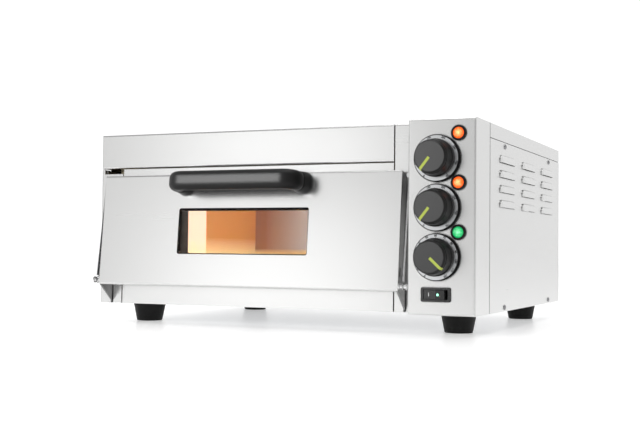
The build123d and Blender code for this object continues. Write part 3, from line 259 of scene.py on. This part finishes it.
MOULD_ROUGHNESS = 0.04          # the moulded grain changes the roughness by this much either way
MOULD_DEPTH = 0.01 * MM
MOULD_STRENGTH = 0.35


def black_moulding(name, color, roughness, grain, edges, shine=0.5):
    """Black plastic with a fine moulded grain and softened edges."""
    made = new_material(name, color, 0.0, roughness, Specular_IOR_Level=shine)
    fine = noise(made, grain, 2.0)
    link(made, ranged(made, fine, roughness - MOULD_ROUGHNESS, roughness + MOULD_ROUGHNESS),
         shader_of(made).inputs["Roughness"])
    bumpy(made, fine, MOULD_DEPTH, MOULD_STRENGTH, edges)
    return made


dial_low, dial_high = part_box("dial_plates")
DIAL_R = (dial_high.x - dial_low.x) / 2
DIAL_X = (dial_low.x + dial_high.x) / 2
DIAL_FRONT = dial_low.y
DIAL_ZS = {"upper": dial_high.z - DIAL_R, "timer": dial_low.z + DIAL_R}
DIAL_ZS["lower"] = (DIAL_ZS["upper"] + DIAL_ZS["timer"]) / 2

orange_low, orange_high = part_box("orange_lenses")
green_low, green_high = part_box("green_lens")
LENS_R = (orange_high.x - orange_low.x) / 2
LENS_X = (orange_high.x + orange_low.x) / 2
ORANGE_CENTRES = [(LENS_X, orange_low.y, orange_high.z - LENS_R),
                  (LENS_X, orange_low.y, orange_low.z + LENS_R)]
GREEN_CENTRES = [(LENS_X, green_low.y, (green_low.z + green_high.z) / 2)]

STEEL = (0.71, 0.71, 0.705)
STEEL_ROUGHNESS = 0.27
materials = {
    "stainless_steel": brushed("stainless_across", STEEL, STEEL_ROUGHNESS, (3, 3, 420)),
    "stainless_top": brushed("stainless_lid", STEEL, STEEL_ROUGHNESS, (3, 240, 3)),
    "galvanised_steel": speckled("galvanised", (0.60, 0.61, 0.62), (0.70, 0.71, 0.72), 0.42,
                                 90.0, 0.02 * MM, 1.0),
    "chamber_steel": new_material("chamber_sheet", (0.80, 0.62, 0.46), 0.3, 0.45),
    "heater_tube": new_material("heater_sheath", (0.16, 0.12, 0.10), 0.7, 0.5,
                                Emission_Color=(1.0, 0.28, 0.06), Emission_Strength=0.25),
    "mineral_wool": speckled("wool", (0.72, 0.66, 0.48), (0.55, 0.50, 0.36), 0.95, 160.0, 0.8 * MM),
    "baking_stone": speckled("cordierite", (0.76, 0.68, 0.55), (0.64, 0.56, 0.44), 0.9, 260.0,
                             0.10 * MM),
    "ceramic_socket": new_material("glazed_ceramic", (0.85, 0.84, 0.80), 0.0, 0.25),
    "clear_glass": new_material("window_glass", (1.0, 1.0, 1.0), 0.0, 0.0, IOR=1.2,
                                Transmission_Weight=1.0),
    "dial_silver": faced_material("dial_face", (0.64, 0.65, 0.66), (0.012, 0.012, 0.012), 0.30, 1.0),
    "switch_black": black_moulding("switch_moulding", (0.008, 0.008, 0.008), 0.25, 900.0, 0.4 * MM,
                                   0.2),
    "regulator_plastic": new_material("regulator_case", (0.70, 0.68, 0.62), 0.0, 0.5),
    "copper_tube": new_material("capillary_copper", (0.80, 0.42, 0.26), 1.0, 0.3),
    "cable_rubber": new_material("cable_sheath", (0.03, 0.03, 0.03), 0.0, 0.6),
    "orange_lens": lens_material("orange_lamp", (1.0, 0.115, 0.012), (1.0, 0.72, 0.30),
                                 ORANGE_CENTRES, 1.25),
    "green_lens": lens_material("green_lamp", (0.01, 0.42, 0.12), (0.45, 1.0, 0.62),
                                GREEN_CENTRES, 0.9),
    "foot_black": black_moulding("foot_rubber", (0.004, 0.004, 0.004), 0.5, 700.0, 0.5 * MM, 0.2),
    "gland_black": black_moulding("gland_nylon", (0.012, 0.012, 0.012), 0.42, 700.0, 0.4 * MM, 0.3),
    "fastener_steel": new_material("zinc_plate", (0.75, 0.75, 0.75), 1.0, 0.26),
    # Spring steel darkened to near black: painted shade for the left spring in the door's dark gap.
    "spring_steel": new_material("spring_wire_painted_shade", (0.07, 0.07, 0.075), 0.8, 0.35),
    "window_black": new_material("window_enamel", (0.006, 0.006, 0.006), 0.0, 0.6,
                                 Specular_IOR_Level=0.1),
    "handle_black": black_moulding("handle_phenolic", (0.005, 0.005, 0.005), 0.36, 1400.0, 5.0 * MM,
                                   0.16),
    "knob_black": black_moulding("knob_moulding", (0.010, 0.010, 0.010), 0.40, 1600.0, 0.35 * MM,
                                 0.16),
    "lime_pointer": new_material("lime_insert", (0.40, 0.47, 0.07), 0.0, 0.4),
}
ink = new_material("printed_ink", (0.02, 0.02, 0.022), 0.0, 0.5)
white_ink = new_material("white_print", (0.85, 0.86, 0.85), 0.0, 0.4)
glow = new_material("switch_glow", (0.30, 0.95, 0.62), 0.0, 0.3,
                    Emission_Color=(0.35, 1.0, 0.68), Emission_Strength=1.3)

WINDOW_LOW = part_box("window_frame")[0].z
CHAMBER_WALL_METALLIC = 0.25
CHAMBER_WALL_ROUGHNESS = 0.42
LAMPLIT = (1.0, 0.92, 0.58)     # painted lamp light on the low parts of the chamber's walls, near the stone
LAMP_SHINE = (1.0, 0.80, 0.66, 1.0)     # painted lamp light, as emission, on the sheet's lit part


def painted_light_wall(name, axis, low, high, first, second, painted_glow_depth, shine):
    """Chamber sheet with painted light and shade: one colour below low on an axis, another past high,
    a painted split between lit and shaded sheet. The part below low shines with painted lamp light.
    Behind the window's lower edge, up to the given glow depth above it, the sheet pales with painted
    lamp glow."""
    made = new_material(name, second, CHAMBER_WALL_METALLIC, CHAMBER_WALL_ROUGHNESS)
    split = add_node(made, "SeparateXYZ")
    link(made, object_point(made, (1, 1, 1)), split.inputs[0])
    # Painted light and shade: the colours on either side of the split stand for lit and shaded sheet.
    along = ranged(made, split.outputs[axis], 0.0, 1.0, low, high)
    lifted = ranged(made, split.outputs["Z"], 0.0, 1.0, WINDOW_LOW, WINDOW_LOW + painted_glow_depth)
    lit_shaded_tone = mixed(made, along, first, second)
    painted_glow_tone = mixed(made, lifted, LAMPLIT, lit_shaded_tone)
    shader = shader_of(made)
    link(made, painted_glow_tone, shader.inputs["Base Color"])
    shader.inputs["Emission Color"].default_value = LAMP_SHINE
    link(made, ranged(made, along, shine, 0.0, 0.0, 1.0), shader.inputs["Emission Strength"])
    return made


# Nodes whose look differs from their slot's.
own_looks = {
    "top_cover": materials["stainless_top"],
    # Left wall: a painted split, pale with painted lamp light in front and orange shaded sheet behind,
    # with a pale painted lamp glow at the bottom.
    "chamber_left_wall": painted_light_wall("left_wall_painted_light", "Y", 0.038, 0.042, (0.92, 0.80, 0.76),
                                     (0.62, 0.30, 0.032), 0.026, 0.40),
    # Back wall: darker brown towards the left, blue-grey towards the right, the blue a painted offset
    # of the lamp's warm light, with a pale painted lamp glow at the bottom.
    "chamber_back_wall": painted_light_wall("back_wall_painted_light", "X", -0.225, -0.15, (0.37, 0.19, 0.10),
                                     (0.52, 0.66, 0.94), 0.008, 0.0),
    "casing_screws": new_material("dark_zinc", (0.32, 0.32, 0.33), 1.0, 0.35),
    "door_arms": new_material("arm_sheet", (0.32, 0.32, 0.32), 1.0, 0.30),
}
slots = {part["node"]: part["material_slot"] for part in frame["record"]["subparts"]}
for node_name, node in nodes.items():
    node.data.materials.clear()
    node.data.materials.append(own_looks.get(node_name, materials[slots[node_name]]))


# ---------------------------------------------------------------- piece helpers
def new_piece(name, vertices, faces, look, smooth=False):
    """A mesh object of one material, from its vertices and faces."""
    mesh = bpy.data.meshes.new(name)
    mesh.from_pydata([tuple(v) for v in vertices], [], faces)
    mesh.validate()
    mesh.polygons.foreach_set("use_smooth", [smooth] * len(mesh.polygons))
    mesh.materials.append(look)
    piece = bpy.data.objects.new(name, mesh)
    bpy.context.scene.collection.objects.link(piece)
    return piece


def tube(points, radius, sides):
    """Vertices and faces of a round wire along points, closed at both ends."""
    vertices, faces = [], []
    across = None
    for index, point in enumerate(points):
        before = points[max(index - 1, 0)]
        after = points[min(index + 1, len(points) - 1)]
        along = (after - before).normalized()
        if across is None:
            across = along.orthogonal().normalized()
        across = (across - along * across.dot(along)).normalized()
        other = along.cross(across)
        for side in range(sides):
            turn = math.tau * side / sides
            vertices.append(point + radius * (across * math.cos(turn) + other * math.sin(turn)))
    for ring in range(len(points) - 1):
        for side in range(sides):
            a, b = ring * sides + side, ring * sides + (side + 1) % sides
            faces.append((a, b, b + sides, a + sides))
    last = (len(points) - 1) * sides
    faces.append(tuple(range(sides - 1, -1, -1)))
    faces.append(tuple(range(last, last + sides)))
    return vertices, faces


def joined(parts):
    """One vertex and face list from several."""
    vertices, faces = [], []
    for some_vertices, some_faces in parts:
        shift = len(vertices)
        vertices += some_vertices
        faces += [tuple(i + shift for i in face) for face in some_faces]
    return vertices, faces


LETTER_OFFSET = 0.05    # thickens the letters, as a share of their size


def lettering(text, size, place):
    """Flat filled letters of Blender's own font, placed by a matrix."""
    curve = bpy.data.curves.new("letters", "FONT")
    curve.body = text
    curve.size = size
    curve.offset = LETTER_OFFSET * size
    curve.align_x = "CENTER"
    curve.align_y = "CENTER"
    holder = bpy.data.objects.new("letters", curve)
    bpy.context.scene.collection.objects.link(holder)
    bpy.context.view_layer.update()
    graph = bpy.context.evaluated_depsgraph_get()
    mesh = bpy.data.meshes.new_from_object(holder.evaluated_get(graph))
    vertices = [place @ v.co for v in mesh.vertices]
    faces = [tuple(face.vertices) for face in mesh.polygons]
    bpy.data.objects.remove(holder)
    bpy.data.curves.remove(curve)
    bpy.data.meshes.remove(mesh)
    return vertices, faces


def facing_front(x, y, z, turn=0.0):
    """Places a flat shape drawn in XY onto a plane that faces -Y, turned clockwise seen from there."""
    return Matrix.Translation((x, y, z)) @ Matrix.Rotation(math.pi / 2, 4, "X") @ Matrix.Rotation(
        -turn, 4, "Z")


def arc_band(x, y, z, inner, outer, start, end, steps):
    """A flat band between two radii, from start to end, clockwise from the top, facing -Y."""
    vertices, faces = [], []
    for step in range(steps + 1):
        angle = start + (end - start) * step / steps
        for radius in (inner, outer):
            vertices.append(Vector((x + radius * math.sin(angle), y, z + radius * math.cos(angle))))
        if step:
            a = 2 * step
            faces.append((a - 2, a - 1, a + 1, a))
    return vertices, faces


# ---------------------------------------------------------------- dial scales
PRINT_RISE = 0.03 * MM          # prints lie this far in front of their surface
FINE_TICKS = 5                  # between one numeral and the next
TICK_OUTER = 4.4 * MM           # these four are measured in from the plate's edge
TICK_INNER = 4.9 * MM
LONG_TICK_INNER = 5.2 * MM
NUMERAL_DEPTH = 2.7 * MM
NUMERAL_SIZE = 3.5 * MM
TICK_HALF_ANGLE = 0.008
LONG_TICK_HALF_ANGLE = 0.014
RING_INNER = 1.15 * MM          # thin printed ring, in from the plate's edge
RING_OUTER = 0.75 * MM
HEAT_MARKS = ["0", "50", "100", "150", "200", "250", "300", "350"]
TIME_MARKS = ["0", "10", "20", "30", "40", "50", "60", "70", "80", "90", "100", "110", "120"]
HEAT_SWEEP = math.radians(290)
TIME_SWEEP = math.radians(300)
RING_STEPS = 72


def dial_scale(name, marks, sweep):
    """Ticks and numerals round a dial plate, from the lower left, clockwise over sweep."""
    y, z = DIAL_FRONT - PRINT_RISE, DIAL_ZS[name]
    parts = []
    start = -sweep / 2
    fine = (len(marks) - 1) * FINE_TICKS
    for tick in range(fine + 1):
        angle = start + sweep * tick / fine
        long = tick % FINE_TICKS == 0
        inner = DIAL_R - (LONG_TICK_INNER if long else TICK_INNER)
        half = LONG_TICK_HALF_ANGLE if long else TICK_HALF_ANGLE
        parts.append(arc_band(DIAL_X, y, z, inner, DIAL_R - TICK_OUTER, angle - half, angle + half, 1))
    for index, mark in enumerate(marks):
        angle = start + sweep * index / (len(marks) - 1)
        reach = DIAL_R - NUMERAL_DEPTH
        place = facing_front(DIAL_X + reach * math.sin(angle), y, z + reach * math.cos(angle), angle)
        parts.append(lettering(mark, NUMERAL_SIZE, place))
    ring = arc_band(DIAL_X, y, z, DIAL_R - RING_INNER, DIAL_R - RING_OUTER, 0.0, math.tau,
                    RING_STEPS)
    piece = new_piece(name + "_dial_print", *joined(parts + [ring]), ink)
    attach(piece, "casing")


dial_scale("upper", HEAT_MARKS, HEAT_SWEEP)
dial_scale("lower", HEAT_MARKS, HEAT_SWEEP)
dial_scale("timer", TIME_MARKS, TIME_SWEEP)


# ---------------------------------------------------------------- door springs
LOOP_STEPS = 26         # points in a full loop of wire
COIL_STEPS = 10         # points in a turn of the coil
LOOP_TURN = 0.92        # share of a full turn in each end loop
LOOP_NECK = 2.2 * MM    # between a loop and the coil
COIL_PITCH = 1.45 * MM
SPRING_R = 2.75 * MM
WIRE_R = 0.6 * MM
WIRE_SIDES = 7
WIRE_SLACK = 0.95       # share of the wire's radius drawn, so that turns stay apart
LOOP_R = 4.0 * MM


def loop_points(centre, towards, sideways, radius, turns):
    """A wire loop round centre that starts on the side towards the coil."""
    count = int(LOOP_STEPS * turns)
    return [centre + radius * (towards * math.cos(math.tau * turns * i / count)
                               + sideways * math.sin(math.tau * turns * i / count))
            for i in range(count + 1)]


def spring_path(top, low, coil_r, loop_r, pitch):
    """Upper loop, close-wound coil, lower loop: one wire's middle line."""
    way = (low - top).normalized()
    across = Vector((1, 0, 0))
    other = way.cross(across).normalized()
    upper = loop_points(top, way, across, loop_r, LOOP_TURN)
    lower = loop_points(low, -way, other, loop_r, LOOP_TURN)
    start = top + way * (loop_r + LOOP_NECK)
    length = (low - way * (loop_r + LOOP_NECK) - start).length
    turns = round(length / pitch)
    coil = []
    for i in range(turns * COIL_STEPS + 1):
        angle = math.tau * i / COIL_STEPS
        coil.append(start + way * (length * i / (turns * COIL_STEPS))
                    + coil_r * (across * math.cos(angle) + other * math.sin(angle)))
    return list(reversed(upper)) + coil + lower


anchor_low, anchor_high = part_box("spring_anchors")
stud_low, stud_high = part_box("spring_studs")
spring_low, spring_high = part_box("door_springs")
ANCHOR_Y = anchor_low.y + 4.0 * MM      # behind the pegs' heads
ANCHOR_Z = (anchor_low.z + anchor_high.z) / 2
STUD_Y = (stud_low.y + stud_high.y) / 2
STUD_Z = (stud_low.z + stud_high.z) / 2
# The left spring takes the darkened spring steel, painted shade; the right one the bright wire, the
# steel's own colour.
bright_wire = new_material("bright_wire", (0.72, 0.72, 0.72), 1.0, 0.24)
spring_looks = {"left": materials["spring_steel"], "right": bright_wire}
spring_places = {"left": spring_low.x + LOOP_R + WIRE_R, "right": spring_high.x - LOOP_R - WIRE_R}
for side, spring_x in spring_places.items():
    top_point = Vector((spring_x, ANCHOR_Y, ANCHOR_Z))
    low_point = Vector((spring_x, STUD_Y, STUD_Z))
    path = spring_path(top_point, low_point, SPRING_R - WIRE_R, LOOP_R, COIL_PITCH)
    wire = tube(path, WIRE_R * WIRE_SLACK, WIRE_SIDES)
    spring = new_piece(side + "_wound_spring", *wire, spring_looks[side], True)
    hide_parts("door_springs")
    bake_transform(spring)


# ---------------------------------------------------------------- rocker marks
paddle = nodes["switch_paddle"]
paddle_tree = BVHTree.FromPolygons([v.co for v in paddle.data.vertices],
                                   [tuple(p.vertices) for p in paddle.data.polygons])
frame_low, frame_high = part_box("switch_frame")
SWITCH_X = (frame_low.x + frame_high.x) / 2
SWITCH_Z = (frame_low.z + frame_high.z) / 2

MARK_RISE = 0.05 * MM
RAY_START = 50 * MM     # rays to the rocker's face start this far in front of the switch
MARK_X = (-9.1, -8.5)   # the on mark, from the switch's middle, in millimetres
MARK_HALF_HEIGHT = 2.2
LIGHT_X = 3.0           # the lit dot, right of the switch's middle, in millimetres
LIGHT_R = 1.6
LIGHT_STEPS = 20


def on_paddle(x, z, lift):
    """A point just off the rocker's face at x, z."""
    start = Vector((x, frame_low.y - RAY_START, z))
    hit, normal, _, _ = paddle_tree.ray_cast(start, Vector((0, 1, 0)))
    return hit + normal * lift


def paddle_patch(name, outline, look):
    """A flat mark on the rocker's face, as x, z offsets in millimetres from the switch's middle."""
    points = [on_paddle(SWITCH_X + x * MM, SWITCH_Z + z * MM, MARK_RISE) for x, z in outline]
    patch = new_piece(name, points, [tuple(range(len(points)))], look)
    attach(patch, "power_switch")


paddle_patch("on_mark", [(MARK_X[0], -MARK_HALF_HEIGHT), (MARK_X[1], -MARK_HALF_HEIGHT),
                         (MARK_X[1], MARK_HALF_HEIGHT), (MARK_X[0], MARK_HALF_HEIGHT)], white_ink)
dot_angles = [math.tau * i / LIGHT_STEPS for i in range(LIGHT_STEPS)]
dot = [(LIGHT_X + LIGHT_R * math.sin(angle), LIGHT_R * math.cos(angle)) for angle in dot_angles]
paddle_patch("switch_light", dot, glow)


# ---------------------------------------------------------------- camera
CAMERA_YAW = math.radians(23.896)
CAMERA_PITCH = math.radians(1.855)
CAMERA_ROLL = math.radians(0.542)
CAMERA_PLACE = (0.6410, -1.5011, 0.1047)
CAMERA_LENS = 61.377            # these two in millimetres
SENSOR_WIDTH = 36.0
forward = Vector((-math.sin(CAMERA_YAW) * math.cos(CAMERA_PITCH),
                  math.cos(CAMERA_YAW) * math.cos(CAMERA_PITCH), math.sin(CAMERA_PITCH)))
level = Vector((math.cos(CAMERA_YAW), math.sin(CAMERA_YAW), 0))
upward = level.cross(forward)
right = math.cos(CAMERA_ROLL) * level + math.sin(CAMERA_ROLL) * upward
up = math.cos(CAMERA_ROLL) * upward - math.sin(CAMERA_ROLL) * level
camera = bpy.data.objects.new("camera", bpy.data.cameras.new("camera"))
camera.data.sensor_width = SENSOR_WIDTH
camera.data.lens = CAMERA_LENS
turned = Matrix((right, up, -forward)).transposed().to_4x4()
camera.matrix_world = Matrix.Translation(CAMERA_PLACE) @ turned
bpy.context.scene.collection.objects.link(camera)
bpy.context.scene.camera = camera


# ---------------------------------------------------------------- lights
def area_light(name, place, target, width, height, power):
    """A white softbox that faces a target and that the camera doesn't see."""
    light = bpy.data.lights.new(name, "AREA")
    light.shape = "RECTANGLE"
    light.size = width
    light.size_y = height
    light.energy = power
    holder = bpy.data.objects.new(name, light)
    holder.location = place
    holder.rotation_mode = "QUATERNION"
    holder.rotation_quaternion = (Vector(target) - Vector(place)).to_track_quat("-Z", "Y")
    holder.visible_camera = False
    bpy.context.scene.collection.objects.link(holder)
    return holder


area_light("front_softbox", place=(-1.05, -2.4, 0.35), target=(0, 0, 0.15), width=0.8, height=0.7,
           power=1.5)
area_light("top_softbox", place=(0.2, -0.3, 1.9), target=(0, 0, 0), width=1.6, height=1.3, power=16)
fill = area_light("front_fill", place=(-0.7, -2.5, 0.9), target=(0, 0, 0.15), width=1.2, height=0.8,
                  power=26)
fill.visible_glossy = False
fill.visible_transmission = False

# A softbox that only the black parts see, for the sheen on the handle and the knobs.
sheen = area_light("black_parts_softbox", place=(-1.05, -2.1, 0.75), target=(0, -0.25, 0.19), width=1.0,
                   height=1.5, power=115)
black_parts = bpy.data.collections.new("black_parts")
for name in ("handle_grip", "handle_posts", "upper_knob", "lower_knob", "timer_knob", "switch_frame",
             "switch_paddle"):
    black_parts.objects.link(nodes[name])
sheen.light_linking.receiver_collection = black_parts

# The lit chamber lamp, just off its glass and towards the chamber's middle and the door.
BULB_OFFSET = (-0.03, -0.03, -0.02)
glass_low, glass_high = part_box("lamp_glass")
chamber_glow = bpy.data.lights.new("chamber_bulb", "POINT")
chamber_glow.energy = 1.3
chamber_glow.color = (1.0, 0.85, 0.68)
chamber_glow.shadow_soft_size = 0.012
bulb = bpy.data.objects.new("chamber_bulb", chamber_glow)
bulb.location = (glass_low.x + BULB_OFFSET[0], (glass_low.y + glass_high.y) / 2 + BULB_OFFSET[1],
                 (glass_low.z + glass_high.z) / 2 + BULB_OFFSET[2])
bpy.context.scene.collection.objects.link(bulb)

# The studio's brightness by direction, for the steel to mirror. Each range gives the direction's
# lowest and highest value, and the brightness at each. The camera itself sees one even backdrop.
FRONT_TO_BACK = (-0.3, 0.3)                     # in Y, where the front half gives way to the back half
RIGHT_SHADE = (-0.40, -0.22, 1.0, 0.58)         # in X, in front
LEFT_SHADE = (-0.75, -0.52, 0.66, 1.0)          # in X, in front
BACK_SHADE = (-0.1, 0.15, 1.0, 0.86)            # in X, behind
OVERHEAD_SHADE = (0.28, 0.7, 1.0, 0.45)         # in Z
world = bpy.data.worlds.new("studio")
bpy.context.scene.world = world
world.use_nodes = True
background = world.node_tree.nodes["Background"]
direction = add_node(world, "SeparateXYZ")
link(world, add_node(world, "TexCoord").outputs["Generated"], direction.inputs[0])


def world_range(axis, from_low, from_high, low, high):
    """A brightness from low to high over a range of the direction's X, Y or Z."""
    return ranged(world, direction.outputs[axis], low, high, from_low, from_high)


def times(first, second):
    """The product of two brightnesses."""
    product = add_node(world, "Math", operation="MULTIPLY")
    link(world, first, product.inputs[0])
    link(world, second, product.inputs[1])
    return product.outputs[0]


in_front = times(world_range("X", *RIGHT_SHADE), world_range("X", *LEFT_SHADE))
behind = times(world_range("Y", *FRONT_TO_BACK, 0.0, BACKDROP), world_range("X", *BACK_SHADE))
fade = world_range("Y", *FRONT_TO_BACK, 1.0, 0.0)
sides = add_node(world, "Math", operation="ADD")
link(world, times(in_front, fade), sides.inputs[0])
link(world, behind, sides.inputs[1])
seen = add_node(world, "LightPath").outputs["Is Camera Ray"]
shown = add_node(world, "Math", operation="MULTIPLY_ADD")
overhead = world_range("Z", *OVERHEAD_SHADE)
link(world, times(sides.outputs[0], overhead), shown.inputs[0])
link(world, ranged(world, seen, 1.0, 0.0, 0.0, 1.0), shown.inputs[1])
link(world, ranged(world, seen, 0.0, BACKDROP, 0.0, 1.0), shown.inputs[2])
link(world, shown.outputs[0], background.inputs["Strength"])
background.inputs["Color"].default_value = (1.0, 1.0, 1.0, 1.0)

# ---------------------------------------------------------------- floor
FLOOR_R = 14.0
FLOOR_STEPS = 96
FLOOR_DROP = 0.2 * MM
PAPER = (0.90, 0.90, 0.90)              # what the camera sees all over the floor
SHADED_PAPER = (0.42, 0.42, 0.42)       # in front of the oven, for reflections and bounced light only
PAPER_GLOW = 0.34
SHADE_Y = (-1.8, -1.0)                  # the shaded paper ends over this range
floor_points = []
for step in range(FLOOR_STEPS):
    angle = math.tau * step / FLOOR_STEPS
    floor_points.append(Vector((FLOOR_R * math.sin(angle), FLOOR_R * math.cos(angle), -FLOOR_DROP)))
floor_look = new_material("floor_paper", PAPER, 0.0, 0.30, Specular_IOR_Level=0.4,
                          Emission_Color=(1.0, 1.0, 1.0), Emission_Strength=PAPER_GLOW)
across = add_node(floor_look, "SeparateXYZ")
link(floor_look, object_point(floor_look, (1, 1, 1)), across.inputs[0])
near_floor = ranged(floor_look, across.outputs["Y"], 1.0, 0.0, *SHADE_Y)
floor_seen = add_node(floor_look, "LightPath").outputs["Is Camera Ray"]
unseen = add_node(floor_look, "Math", operation="MULTIPLY")
link(floor_look, near_floor, unseen.inputs[0])
link(floor_look, ranged(floor_look, floor_seen, 1.0, 0.0, 0.0, 1.0), unseen.inputs[1])
near_share = unseen.outputs[0]
link(floor_look, mixed(floor_look, near_share, PAPER, SHADED_PAPER),
     shader_of(floor_look).inputs["Base Color"])
link(floor_look, ranged(floor_look, near_share, PAPER_GLOW, 0.0, 0.0, 1.0),
     shader_of(floor_look).inputs["Emission Strength"])
floor = new_piece("floor", floor_points, [tuple(reversed(range(FLOOR_STEPS)))], floor_look)

bpy.context.scene.view_settings.view_transform = "Standard"
bpy.context.scene.view_settings.look = "None"
